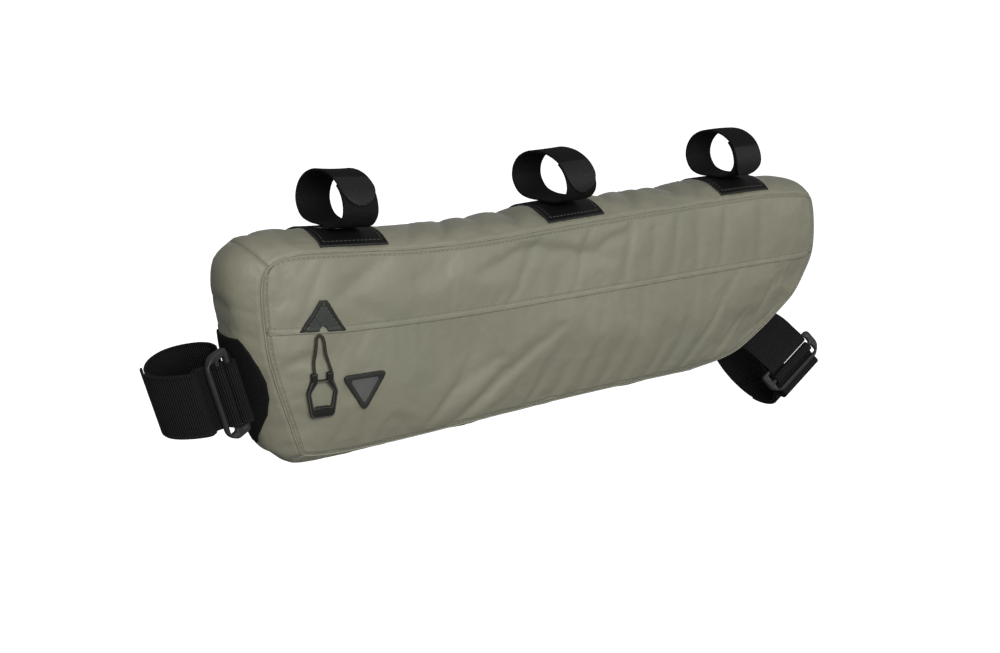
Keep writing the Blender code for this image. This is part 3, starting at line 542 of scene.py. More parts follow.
def front_panel(surface, rows, u, w, low, high, to_zip):
    """A front panel between two levels of the front, with furrows that end at the zip."""
    point, full = surface(u, w), fullness(u, low + w * (high - low))
    dent = furrows(rows, u, w, (high - low) * HEIGHT) * np.minimum(full * 2, 1.0) * (1 - to_zip ** 6)
    point[..., 1] -= FRONT_FULLNESS * full - dent
    return point


def lower_front(u, w):
    return front_panel(below, LOWER_FOLDS, u, w, 0.0, ZIP_LEVEL, w)


def upper_front(u, w):
    return front_panel(above, UPPER_FOLDS, u, w, ZIP_LEVEL, 1.0, 1 - w)


def back_side(u, w):
    point = behind(u, w)
    point[..., 1] = -point[..., 1] + BACK_FULLNESS * fullness(u, w)
    return point


def unit(vectors):
    return vectors / np.linalg.norm(vectors, axis=-1, keepdims=True)


def ahead_on(curve, s):
    """The way that a closed curve runs at a share of its length."""
    return curve(s + CURVE_STEP) - curve(s - CURVE_STEP)


def seam_normal(s):
    run = ahead_on(seam, s)
    return unit(np.stack([-run[..., 2], np.zeros_like(run[..., 0]), run[..., 0]], -1))


def swell_at(s):
    s = np.asarray(s, float) % 1.0
    i = np.clip(np.searchsorted(swell_marks, s, side="left") - 1, 0, len(swells) - 2)
    f = (s - swell_marks[i]) / (swell_marks[i + 1] - swell_marks[i])
    return swells[i] + (swells[i + 1] - swells[i]) * f * f * (3 - 2 * f)


def gusset(s, v):
    edge = seam(s)
    rise = swell_at(s) * (1 - np.abs(v) ** SWELL_POWER)
    point = edge + seam_normal(s) * rise[..., None]
    point[..., 1] = v * np.abs(edge[..., 1])
    return point


def top_gusset(s, v):
    low, high = SPANS["top"]
    u = (s - low) / (high - low)
    gaps = [np.maximum(np.abs(u - at) - PATCH_CLEAR, 0.0) / PATCH_FADE for at in LOOP_ALONG]
    clear = np.min([np.ones_like(u)] + gaps, 0)
    dent = furrows(TOP_FOLDS, u, (v + 1) / 2, WIDTH) * (1 - np.abs(v) ** SWELL_POWER) * ramp(u) * clear
    return gusset(s, v) - seam_normal(s) * dent[..., None]


print("zip meets the seams at", round(float(zip_seat), 4), round(float(zip_head), 4))

# %% [markdown]
# The cloth is made as one closed shell, because panels that share their seam stay sewn together when
# the cloth is pressed from inside. A grid is added for each panel, its corners are moved onto the
# panel's surface, and the grids are joined and merged along their seams.

# %% Lay out the shell
COLUMNS, LOWER_ROWS, UPPER_ROWS, ACROSS = 200, 34, 20, 24


def deselect():
    if bpy.context.object and bpy.context.object.mode != "OBJECT":
        bpy.ops.object.mode_set(mode="OBJECT")
    bpy.ops.object.select_all(action="DESELECT")


def pick(piece):
    """Selects one object alone and makes it the active one."""
    deselect()
    piece.select_set(True)
    bpy.context.view_layer.objects.active = piece


def read_points(mesh):
    flat = np.empty(len(mesh.vertices) * 3)
    mesh.vertices.foreach_get("co", flat)
    return flat.reshape(-1, 3)


def write_points(mesh, points):
    mesh.vertices.foreach_set("co", np.ascontiguousarray(points).ravel())
    mesh.update()


def grid_sheet(name, columns, rows, place):
    """A grid whose points are moved to place(u, w)."""
    deselect()
    bpy.ops.mesh.primitive_grid_add(x_subdivisions=columns, y_subdivisions=rows, size=2.0)
    sheet = bpy.context.object
    sheet.name = sheet.data.name = name
    flat = read_points(sheet.data)
    u, w = (flat[:, 0] + 1) / 2, (flat[:, 1] + 1) / 2
    u, w = np.round(u * columns) / columns, np.round(w * rows) / rows
    write_points(sheet.data, place(u, w))
    return sheet, u, w


def set_map(mesh, along, across):
    """Writes a map, in metres, from a value for each point."""
    layer = mesh.uv_layers.active or mesh.uv_layers.new(name="map")
    corner = np.empty(len(mesh.loops), dtype=np.int32)
    mesh.loops.foreach_get("vertex_index", corner)
    layer.data.foreach_set("uv", np.stack([along[corner], across[corner]], 1).ravel())


def set_values(mesh, name, values):
    layer = mesh.attributes.get(name) or mesh.attributes.new(name, "FLOAT", "POINT")
    layer.data.foreach_set("value", np.asarray(values, np.float32))


def gusset_grid(name, side, columns, surface, stops=None):
    low, high = SPANS[side]
    stops = stops or ((0.0, low), (1.0, high))
    places, values = zip(*stops)

    def place(u, w):
        return surface(np.interp(u, places, values), 2 * w - 1)

    return grid_sheet(name, columns, ACROSS, place)


ROWS = LOWER_ROWS + UPPER_ROWS
ZIP_SHARE = LOWER_ROWS / ROWS
SEAT_STOPS = ((0.0, SPANS["seat_end"][0]), (ZIP_SHARE, zip_seat), (1.0, SPANS["seat_end"][1]))
HEAD_STOPS = ((0.0, SPANS["head_end"][0]), (1 - ZIP_SHARE, zip_head), (1.0, SPANS["head_end"][1]))


def back_place(u, w):
    """The back's rows meet the end gussets' rows, which are closer above the zip."""
    seat, head = SPANS["seat_end"], SPANS["head_end"]
    left = (np.interp(w, *zip(*SEAT_STOPS)) - seat[0]) / (seat[1] - seat[0])
    right = (head[1] - np.interp(1 - w, *zip(*HEAD_STOPS))) / (head[1] - head[0])
    return back_side(u, left * (1 - u) + right * u)


panels = {}
panels["front_lower"] = grid_sheet("front_lower_cloth", COLUMNS, LOWER_ROWS, lower_front)
panels["front_upper"] = grid_sheet("front_upper_cloth", COLUMNS, UPPER_ROWS, upper_front)
panels["back"] = grid_sheet("back_cloth", COLUMNS, ROWS, back_place)
panels["top"] = gusset_grid("top_gusset_cloth", "top", COLUMNS, top_gusset)
panels["bottom"] = gusset_grid("bottom_gusset_cloth", "bottom", COLUMNS, gusset)
panels["seat_end"] = gusset_grid("seat_end_gusset_cloth", "seat_end", ROWS, gusset, SEAT_STOPS)
panels["head_end"] = gusset_grid("head_end_gusset_cloth", "head_end", ROWS, gusset, HEAD_STOPS)
print("cloth points", sum(len(sheet.data.vertices) for sheet, _, _ in panels.values()))

# %% [markdown]
# A weave and a row of stitches follow the cloth, so each panel needs a map in metres and, at each
# point, the distance to its nearest seam. Both are measured along the grid's own lines, before the
# cloth puckers. Along the zip there is no seam, because the welt covers that edge.

# %% Give each panel its map and its distance from the seams
def arc(points):
    return np.concatenate([[0.0], np.cumsum(np.linalg.norm(np.diff(points, axis=0), axis=1))])


def measure_panel(sheet, u, w, columns, rows, sewn):
    """The map in metres and the distance to the nearest edge, worked out along the grid's own lines."""
    points = read_points(sheet.data)
    i, j = np.round(u * columns).astype(int), np.round(w * rows).astype(int)
    grid = np.zeros((columns + 1, rows + 1, 3))
    grid[i, j] = points
    along = np.stack([arc(grid[:, k]) for k in range(rows + 1)], 1)
    across = np.stack([arc(grid[k]) for k in range(columns + 1)], 0)
    width, height = along[-1][None], across[:, -1][:, None]
    from_ends = np.minimum(along, width - along)
    from_sides = {"low": across, "high": height - across, "both": np.minimum(across, height - across)}[sewn]
    near = np.where(from_sides < from_ends, along, across)
    set_map(sheet.data, along[i, j], across[i, j])
    set_values(sheet.data, "seam_distance", np.minimum(from_ends, from_sides)[i, j])
    set_values(sheet.data, "seam_run", near[i, j])


GRIDS = {
    "front_lower": (COLUMNS, LOWER_ROWS), "front_upper": (COLUMNS, UPPER_ROWS), "back": (COLUMNS, ROWS),
    "top": (COLUMNS, ACROSS), "bottom": (COLUMNS, ACROSS),
    "seat_end": (ROWS, ACROSS), "head_end": (ROWS, ACROSS),
}
SEWN = {"front_lower": "low", "front_upper": "high"}
for key, (sheet, u, w) in panels.items():
    measure_panel(sheet, u, w, *GRIDS[key], SEWN.get(key, "both"))
print("panels measured", list(panels))

# %% [markdown]
# A real panel is cut a little larger than its frame of seams, so the cloth puckers where it is sewn.
# Blender's cloth does the same: the seams are pinned, the cloth between them wants to be one percent
# larger and is pressed from inside, and it settles into puckers. The move of each point is capped, so
# that the bag keeps the shape that the seams give it.

# %% Settle the cloth
PUCKER_CAP, SETTLE_FRAMES, WELD_GRID = 0.0035, 16, 20000


def joined_shell(sheets):
    """A welded copy of all panels, and the welded point that each panel point has gone into."""
    everything = np.vstack([read_points(sheet.data) for sheet in sheets])
    keys = np.round(everything * WELD_GRID).astype(np.int64)
    _, first, place = np.unique(keys, axis=0, return_index=True, return_inverse=True)
    place = place.ravel()
    faces, start = [], 0
    for sheet in sheets:
        for face in sheet.data.polygons:
            faces.append([int(place[start + k]) for k in face.vertices])
        start += len(sheet.data.vertices)
    mesh = bpy.data.meshes.new("shell")
    mesh.from_pydata(everything[first].tolist(), [], faces)
    shell = bpy.data.objects.new("shell", mesh)
    bpy.context.scene.collection.objects.link(shell)
    return shell, place


def settle(shell, pinned, frames):
    pick(shell)
    bpy.ops.object.mode_set(mode="EDIT")
    bpy.ops.mesh.select_all(action="SELECT")
    bpy.ops.mesh.normals_make_consistent(inside=False)
    bpy.ops.object.mode_set(mode="OBJECT")
    group = shell.vertex_groups.new(name="pinned")
    group.add(np.flatnonzero(pinned).tolist(), 1.0, "REPLACE")
    cloth_settings = shell.modifiers.new("settle", "CLOTH").settings
    cloth_settings.quality = 6
    cloth_settings.mass = 0.15
    cloth_settings.tension_stiffness = 30.0
    cloth_settings.compression_stiffness = 30.0
    cloth_settings.shear_stiffness = 12.0
    cloth_settings.bending_stiffness = 0.06
    cloth_settings.vertex_group_mass = "pinned"
    cloth_settings.pin_stiffness = 1.0
    cloth_settings.shrink_min = -0.010
    cloth_settings.use_pressure = True
    cloth_settings.uniform_pressure_force = 0.35
    cloth_settings.effector_weights.gravity = 0.0
    shell.modifiers["settle"].point_cache.frame_start = 1
    shell.modifiers["settle"].point_cache.frame_end = frames
    scene = bpy.context.scene
    for number in range(1, frames + 1):
        scene.frame_set(number)
    evaluated = shell.evaluated_get(bpy.context.evaluated_depsgraph_get())
    result = read_points(evaluated.to_mesh())
    evaluated.to_mesh_clear()
    scene.frame_set(1)
    return result


sheets = [sheet for sheet, _, _ in panels.values()]
shell, place = joined_shell(sheets)
edges = []
for _, u, w in panels.values():
    edges.append(np.minimum(np.minimum(u, 1 - u), np.minimum(w, 1 - w)) < 0.001)
pinned = np.zeros(len(shell.data.vertices))
pinned[place[np.concatenate(edges)]] = 1.0
before = read_points(shell.data)
moved = settle(shell, pinned, SETTLE_FRAMES) - before
size = np.linalg.norm(moved, axis=1, keepdims=True)
capped = moved * np.minimum(1.0, PUCKER_CAP / np.maximum(size, 1e-9))
settled, start = (before + capped)[place], 0
for sheet in sheets:
    count = len(sheet.data.vertices)
    write_points(sheet.data, settled[start:start + count])
    start += count
most, mean = float(size.max()) * 1000, float(size.mean()) * 1000
print("cloth moved up to", round(most, 2), "mm, mean", round(mean, 2))
bpy.data.objects.remove(shell)

# %% [markdown]
# Pieces that lie on the cloth are laid on its settled surface: a ray is cast at the cloth from the
# side, and the piece's points are set off from where it lands. A lift is measured from the cloth's
# outer face, which lies one wall out from the sheet that the ray meets.

# %% Find the cloth's surface
NORMAL_REACH = 0.0025
front_points, front_faces = [], []
for key in ("front_lower", "front_upper"):
    mesh = panels[key][0].data
    start = len(front_points)
    front_points += [vertex.co.copy() for vertex in mesh.vertices]
    front_faces += [[start + k for k in face.vertices] for face in mesh.polygons]
front_tree = BVHTree.FromPolygons(front_points, front_faces)


def cloth_under(x, z):
    """Where a ray from the front meets the cloth, or the nearest cloth, and its normal there."""
    hit, normal, _, _ = front_tree.ray_cast(Vector((x, -0.2, z)), Vector((0.0, 1.0, 0.0)))
    if hit is None:
        hit, normal, _, _ = front_tree.find_nearest(Vector((x, -0.03, z)))
    return hit, (normal if normal.y < 0 else -normal)


def on_front(x, z, lift):
    """The point a lift in front of the cloth at this place, and the cloth's normal, evened out nearby."""
    hit, normal = cloth_under(x, z)
    for dx, dz in ((NORMAL_REACH, 0.0), (-NORMAL_REACH, 0.0), (0.0, NORMAL_REACH), (0.0, -NORMAL_REACH)):
        normal = normal + cloth_under(x + dx, z + dz)[1]
    normal = normal.normalized()
    return hit + normal * (CLOTH_WALL + lift), normal


def zip_height(x):
    """The zip line's height at this distance along."""
    u = np.linspace(0.0, 1.0, 400)
    line = zip_edge(u)
    return float(np.interp(x, line[:, 0], line[:, 2]))


print("cloth in front of the badge", on_front(-0.178, -0.118, 0.0)[0])

# %% [markdown]
# Each panel then gets its wall. Solidify adds it outwards from the surface, as the CAD's wall lies.
# The grids are fine enough for the puckers, so the faces are shaded smooth and not subdivided. The
# gussets show no stitches, so they are told that their seams are far away.

# %% Thicken the panels
NODE_OF = {
    "front_lower": "front_lower_panel", "front_upper": "front_upper_panel", "back": "back_panel",
    "top": "top_gusset", "bottom": "bottom_gusset",
    "seat_end": "seat_end_gusset", "head_end": "head_end_gusset",
}
BAG_MIDDLE = Vector((-0.004, 0.0, -0.094))
FAR_FROM_SEAMS = 0.05


def face_outwards(sheet, middle):
    bm = bmesh.new()
    bm.from_mesh(sheet.data)
    agree = sum(face.normal.dot(face.calc_center_median() - middle) * face.calc_area() for face in bm.faces)
    if agree < 0:
        bmesh.ops.reverse_faces(bm, faces=bm.faces)
    bm.to_mesh(sheet.data)
    bm.free()


def wall(piece, thickness, offset=1.0):
    made = piece.modifiers.new("wall", "SOLIDIFY")
    made.thickness, made.offset = thickness, offset
    made.use_even_offset = False
    pick(piece)
    bpy.ops.object.modifier_apply(modifier="wall")


def smooth_faces(piece):
    piece.data.shade_smooth()


def dress(piece, finish, node):
    """Gives a piece the finish if one is given, hangs it on the root body and hides its CAD node."""
    if finish:
        piece.data.materials.clear()
        piece.data.materials.append(finish)
    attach(piece, "root")
    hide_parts(node)


for key, (sheet, _, _) in panels.items():
    if key not in ("front_lower", "front_upper", "back"):
        set_values(sheet.data, "seam_distance", np.full(len(sheet.data.vertices), FAR_FROM_SEAMS))
    face_outwards(sheet, BAG_MIDDLE)
    wall(sheet, CLOTH_WALL)
    smooth_faces(sheet)
    dress(sheet, cloth, NODE_OF[key])
print("panels dressed", len(panels))

# %% [markdown]
# A folded edge of the cloth, a welt, covers the zip. It hangs a millimetre in front of the lower panel
# and casts a thin shadow, and a row of stitching holds it three millimetres higher. It is a strip with
# the fold's profile, laid along the zip line.

# %% Make the welt
WELT_PROFILE = (
    # up from the zip line, off the cloth, in millimetres
    (4.6, -0.5), (4.0, 0.15), (3.5, 0.22), (3.2, 0.05), (2.9, 0.42), (2.2, 0.85), (1.0, 1.10), (-0.2, 1.20),
    (-0.9, 1.15), (-1.3, 0.85), (-1.35, 0.40), (-1.0, -0.10),
)
WELT_COLUMNS, WELT_FOLD, WELT_STITCH_UP, WELT_WALL = 240, 0.006, 0.0033, 0.0004
WELT_START, WELT_SPARE, WELT_FADE = 0.0035, 0.0075, 0.014
MILLIMETRE = 0.001


def strip_along(name, profile, columns, run):
    """A strip whose cross-section is a profile in millimetres, laid along a run on the front."""
    table = np.array(profile) * MILLIMETRE
    rows = len(table) - 1

    def place(u, w):
        points = []
        for a, b in zip(u, w):
            up, off = table[int(round(b * rows))]
            x, z = run(a)
            points.append(on_front(x, z + up, off * min(1.0, 0.15 + min(a, 1 - a) / WELT_FADE))[0])
        return np.array(points)

    return grid_sheet(name, columns, rows, place)


def along_zip(t):
    x = -TUBE_ALONG + WELT_START + (LENGTH - WELT_SPARE) * t
    return x, zip_height(x)


welt, u, w = strip_along("zip_welt_fold", WELT_PROFILE, WELT_COLUMNS, along_zip)
set_map(welt.data, u * LENGTH, w * WELT_FOLD)
welt_up = np.array(WELT_PROFILE)[np.round(w * (len(WELT_PROFILE) - 1)).astype(int), 0] * MILLIMETRE
set_values(welt.data, "seam_distance", STITCH_INSET + welt_up - WELT_STITCH_UP)
set_values(welt.data, "seam_run", u * LENGTH)
face_outwards(welt, BAG_MIDDLE)
wall(welt, WELT_WALL, -1.0)
smooth_faces(welt)
dress(welt, cloth, "zip_welt")
print("welt points", len(welt.data.vertices))

# %% [markdown]
# The zip's garage is a moulded rubber triangle sewn over the zip's end, with a raised darker border,
# a line of stitching inside it and a notch that lets the cord out. It is a fine grid narrowed to a
# triangle and laid on the cloth, because rubber this thin follows the cloth that it is sewn to.

# %% Make the garage
GARAGE_ALONG, GARAGE_WIDTH, GARAGE_HEIGHT, GARAGE_APEX = 0.0383, 0.0316, 0.0205, 0.0045
LAID_LIFT, RUBBER_WALL = 0.0014, 0.0012
GARAGE_BORDER_RISE, GARAGE_EDGE_DROP = 0.0005, 0.0008
NOTCH_DEPTH, NOTCH_HALF = 0.0042, 0.0021
LONG_STITCH_PITCH, LONG_STITCH_SHARE = 0.0030, 0.65


def bordered_finish(name, color, border, border_width, stitch_at, thread_color):
    """Rubber with a border in another colour and a line of stitches inside it."""
    made = Finish(name, color, 0.55, Specular_IOR_Level=0.25)
    edge = made.node("ShaderNodeAttribute", {"attribute_name": "seam_distance"}, output="Fac")
    run = made.node("ShaderNodeAttribute", {"attribute_name": "seam_run"}, output="Fac")
    inside = edge.steps(border_width - 0.0002, border_width + 0.0002)
    row = 1 - ((edge - stitch_at).absolute()).steps(0.0001, 0.0005)
    dash = (run / LONG_STITCH_PITCH).fraction() < LONG_STITCH_SHARE
    stitch = row * dash
    grain = made.noise(0.0008, 2.0)
    base = made.mix(inside, border, color)
    base = made.mix(grain * 0.35, base, tuple(1.5 * channel for channel in color))
    made.feed("Base Color", made.mix(stitch, base, thread_color))
    made.bump((grain, 0.0001), (row * -1.0, 0.0003), (stitch, 0.0003))
    return made.material


def edge_values(sheet, distance, run):
    set_values(sheet.data, "seam_distance", distance)
    set_values(sheet.data, "seam_run", run)


def soft_step(value, low, high):
    t = np.clip((value - low) / (high - low), 0.0, 1.0)
    return t * t * (3 - 2 * t)


def garage_shape(u, w):
    """Across and up from the zip line, and the distance to the nearest edge."""
    width = GARAGE_WIDTH + (GARAGE_APEX - GARAGE_WIDTH) * w
    x, z = (u - 0.5) * width, w * GARAGE_HEIGHT
    slant = math.hypot(GARAGE_HEIGHT, (GARAGE_WIDTH - GARAGE_APEX) / 2) / GARAGE_HEIGHT
    sides = (width / 2 - np.abs(x)) / slant
    edge = np.minimum(np.minimum(sides, z), GARAGE_HEIGHT - z)
    notch = NOTCH_DEPTH * np.exp(-(x / NOTCH_HALF) ** 4) * (1 - w) ** 3
    return x, z + notch, edge, sides


def garage_place(u, w):
    x, z, edge, _ = garage_shape(u, w)
    lift = LAID_LIFT + GARAGE_BORDER_RISE - GARAGE_BORDER_RISE * soft_step(edge, 0.0020, 0.0030)
    lift = lift - GARAGE_EDGE_DROP * (1 - soft_step(edge, 0.0, 0.0012))
    points = []
    for a, b, c in zip(x, z, lift):
        place_x = GARAGE_ALONG - TUBE_ALONG + a
        points.append(on_front(place_x, zip_height(place_x) + b, c)[0])
    return np.array(points)


garage, u, w = grid_sheet("zip_garage_rubber", 54, 40, garage_place)
_, up, _, sides = garage_shape(u, w)
edge_values(garage, sides, up * 1.2)
face_outwards(garage, BAG_MIDDLE)
wall(garage, RUBBER_WALL, -1.0)
smooth_faces(garage)
garage_rubber = bordered_finish(
    "garage_rubber", (0.046, 0.050, 0.044), (0.020, 0.021, 0.019), 0.0024, 0.0030, (0.11, 0.11, 0.095)
)
dress(garage, garage_rubber, "zip_garage")
print("garage points", len(garage.data.vertices))

# %% [markdown]
# Under each ring a black coated patch is sewn across the top gusset. Its cut edge shows as a thin
# light line, and light stitches run inside it.

# %% Make the patches
PATCH_LENGTH, PATCH_REACH, PATCH_LIFT, PATCH_EDGE_DROP = 0.0490, 0.90, 0.0030, 0.0004
patch_finish = bordered_finish(
    "patch_coating", (0.005, 0.005, 0.005), (0.040, 0.040, 0.038), 0.0005, 0.0034, (0.085, 0.085, 0.078)
)


def off_gusset(s, v, lift):
    """Points a lift off the gusset, along its own normals."""
    one = gusset(s + 0.0005, v) - gusset(s - 0.0005, v)
    other = gusset(s, v + 0.001) - gusset(s, v - 0.001)
    normal = unit(np.cross(one, other))
    sign = np.sign((normal * seam_normal(s)).sum(-1, keepdims=True))
    return gusset(s, v) + normal * sign * np.asarray(lift)[..., None]


def seam_at(side, axis, value, rising=True):
    return crossing(side, lambda p: (p[axis] - value) * (1 if rising else -1))


def patch(name, low, high, reach, finish, node, columns=40, rows=60, outline=None):
    """A sheet laid across a gusset, from one place on the seam to another, narrowed by its outline."""
    def place(u, w):
        narrowed = reach * np.interp(u, *zip(*(outline or ((0.0, 1.0), (1.0, 1.0)))))
        s, v = low + (high - low) * u, (2 * w - 1) * narrowed
        edge = np.minimum(np.minimum(u, 1 - u) * (high - low) * seam.length, np.minimum(w, 1 - w) * WIDTH)
        return off_gusset(s, v, PATCH_LIFT - PATCH_EDGE_DROP * (1 - soft_step(edge, 0.0, 0.0006)))

    made, u, w = grid_sheet(name, columns, rows, place)
    ends = np.minimum(u, 1 - u) * (high - low) * seam.length
    flanks = np.minimum(w, 1 - w) * WIDTH * reach
    along, across = u * (high - low) * seam.length, w * WIDTH * reach
    edge_values(made, np.minimum(ends, flanks), np.where(flanks < ends, along, across))
    set_map(made.data, along, across - WIDTH * reach / 2)
    face_outwards(made, BAG_MIDDLE)
    wall(made, RUBBER_WALL, -1.0)
    smooth_faces(made)
    dress(made, finish, node)


loop_places = [seam_at("top", 0, share * LENGTH - TUBE_ALONG) for share in LOOP_ALONG]
for number, s in enumerate(loop_places, start=1):
    half = PATCH_LENGTH / 2 / seam.length
    patch(
        f"loop_patch_{number}_coating", s - half, s + half, PATCH_REACH, patch_finish, f"loop_patch_{number}",
    )
print("patches made", len(loop_places))

# %% [markdown]
# Three straps of hook-and-loop tape make rings for the top tube. Each starts under itself, runs round
# the ring and ends at the front in a round tab, lighter than the rest, pressed on its own start. The
# strap is a narrow sheet laid along the ring's curve, one wall further out on its second turn.

# %% Make the rings
LOOP_TAB_TURN = (0.260, 0.220, 0.160)
LOOP_STRAP_WIDTH, LOOP_SPAN, LOOP_RISE = 0.0250, (0.0630, 0.0640, 0.0530), 0.0335
LOOP_WALL, LOOP_UNDERLAP, LOOP_STEP = 0.0016, 0.36, 0.0022
RING_COLUMNS, TAB_FROM, TAB_TO = 150, 0.0225, 0.0205
LOOP_BASE_LIFT = CLOTH_WALL + 0.0004 + 0.0014 + 0.0008 + LOOP_WALL / 2
LOOP_RING = (
    (0.00, 0.000), (0.22, 0.005), (0.40, 0.100), (0.50, 0.340), (0.48, 0.600), (0.37, 0.820),
    (0.19, 0.960), (0.00, 1.000), (-0.20, 0.955), (-0.38, 0.800), (-0.48, 0.570), (-0.50, 0.310),
    (-0.40, 0.095), (-0.22, 0.005),
)


def ring_finish(name):
    """Black tape whose tab is lighter and smoother than the rest."""
    made = Finish(name, (0.006, 0.006, 0.006), 0.75, Specular_IOR_Level=0.2)
    tab = made.node("ShaderNodeAttribute", {"attribute_name": "tab"}, output="Fac")
    lint = made.noise(0.0010, 3.0, 0.7)
    dark = made.mix(lint.steps(0.42, 0.8), (0.003, 0.003, 0.003), (0.014, 0.014, 0.014))
    light = made.mix(lint.steps(0.40, 0.7), (0.014, 0.014, 0.015), (0.024, 0.024, 0.025))
    made.feed("Base Color", made.mix(tab, dark, light))
    made.feed("Roughness", 0.80 - tab * 0.28)
    made.bump((lint, 0.00025), (made.noise(0.011), 0.0005))
    return made.material


ring_tape = ring_finish("ring_tape")


def smooth_by_angle(piece, degrees):
    pick(piece)
    bpy.ops.object.shade_smooth_by_angle(angle=math.radians(degrees))


def ring_strap(number, s, tab, span):
    ring = Smooth([(0.0, across * span, up * LOOP_RISE) for across, up in LOOP_RING], closed=True)
    run, out = unit(ahead_on(seam, s)), seam_normal(s)
    run = unit(run * np.array((1.0, 0.0, 1.0)))
    floor = off_gusset(np.array(s), np.array(0.0), LOOP_BASE_LIFT)
    start, end = -LOOP_UNDERLAP, 1 - tab

    def place(u, w):
        turn = start + (end - start) * u
        ahead = ahead_on(ring, turn)
        outward = unit(np.stack([ahead[:, 0] * 0, ahead[:, 2], -ahead[:, 1]], 1))
        point = ring(turn) + outward * (LOOP_STEP * turn)[:, None]
        left = (end - turn) * ring.length / (LOOP_STRAP_WIDTH / 2)
        width = np.sqrt(np.maximum(1 - (1 - np.minimum(left, 1.0)) ** 2, 0.02))
        side = (2 * w - 1) * LOOP_STRAP_WIDTH / 2 * width
        bow = 0.0005 * (2 * w - 1) ** 2 * np.sin(turn * 9.0 + number)
        point = point - outward * bow[:, None]
        return floor + out * point[:, 2:] + np.array((0.0, 1.0, 0.0)) * point[:, 1:2] + run * side[:, None]

    made, u, _ = grid_sheet(f"top_loop_{number}_tape", RING_COLUMNS, 10, place)
    length = (end - start) * ring.length
    set_values(made.data, "tab", soft_step(u * length, length - TAB_FROM, length - TAB_TO))
    wall(made, LOOP_WALL - 0.0003, 0.0)
    smooth_by_angle(made, 50)
    dress(made, ring_tape, f"top_loop_{number}")


for number, (s, tab, span) in enumerate(zip(loop_places, LOOP_TAB_TURN, LOOP_SPAN), start=1):
    ring_strap(number, s, tab, span)
print("rings made")

# %% [markdown]
# The straps for the seat tube and the down tube are ribbed webbing, threaded through ladder buckles.
# Each follows the same path as its CAD solid: out from the bag, round the tube, through the buckle,
# round its middle bar and back along itself. The short piece that holds the buckle is folded round
# the buckle's first bar.

# %% Make the straps
WEBBING_WIDTH, WEBBING_WALL, LAYER_GAP, SEAT_GAP = 0.0415, 0.0015, 0.0006, 0.0004
BUCKLE_BAR, BUCKLE_SLOT, BUCKLE_THICKNESS, BUCKLE_RAIL, BUCKLE_PLAY = 0.0030, 0.0056, 0.0030, 0.0052, 0.0026
BUCKLE_CORNER, PATH_STEP = 0.0065, 0.0050
SEAT_RUN = (
    (0.10, 0.000), (0.24, 0.006), (0.33, 0.090), (0.35, 0.280), (0.29, 0.480), (0.17, 0.650),
    (0.01, 0.800), (-0.20, 0.930), (-0.40, 1.000), (-0.56, 0.975), (-0.66, 0.820), (-0.68, 0.640),
)
SEAT_HOLDER = ((-0.06, 0.000), (-0.20, 0.006), (-0.34, 0.050), (-0.46, 0.110))
DOWN_RUN = (
    (0.12, 0.000), (0.28, 0.010), (0.42, 0.100), (0.49, 0.320), (0.48, 0.560), (0.38, 0.800),
    (0.18, 0.980), (-0.06, 1.000), (-0.27, 0.910), (-0.40, 0.740),
)
DOWN_HOLDER = ((-0.04, 0.000), (-0.18, 0.010), (-0.34, 0.085), (-0.45, 0.210))


class StrapFrame:
    """Where a strap leaves the bag: across the bag, away from it, and along its own width."""

    def __init__(self, s, lift, lean):
        run = ahead_on(seam, s) * np.array((1.0, 0.0, 1.0))
        self.width, self.out, self.lean = unit(run), seam_normal(s), lean
        self.start = gusset(np.array(s), np.array(0.0)) + self.out * lift

    def place(self, across, away, side):
        across, away, side = (np.asarray(value, float)[..., None] for value in (across, away, side))
        return (
            self.start + np.array((0.0, 1.0, 0.0)) * across + self.out * away
            + self.width * (side + self.lean * away)
        )


def strip(name, holder_frame, path, node, columns):
    """Webbing along a path of (across, away), with a slightly wavy surface and soft edges."""
    line = Smooth([(a, b, 0.0) for a, b in path])

    def place(u, w):
        point = line(u)
        side = (2 * w - 1) * WEBBING_WIDTH / 2
        return holder_frame.place(point[:, 0], point[:, 1], side)

    made, u, w = grid_sheet(name, columns, 8, place)
    set_map(made.data, u * line.length, (2 * w - 1) * WEBBING_WIDTH / 2)
    wall(made, WEBBING_WALL - 0.0002, 0.0)
    smooth_by_angle(made, 50)
    dress(made, webbing, node)


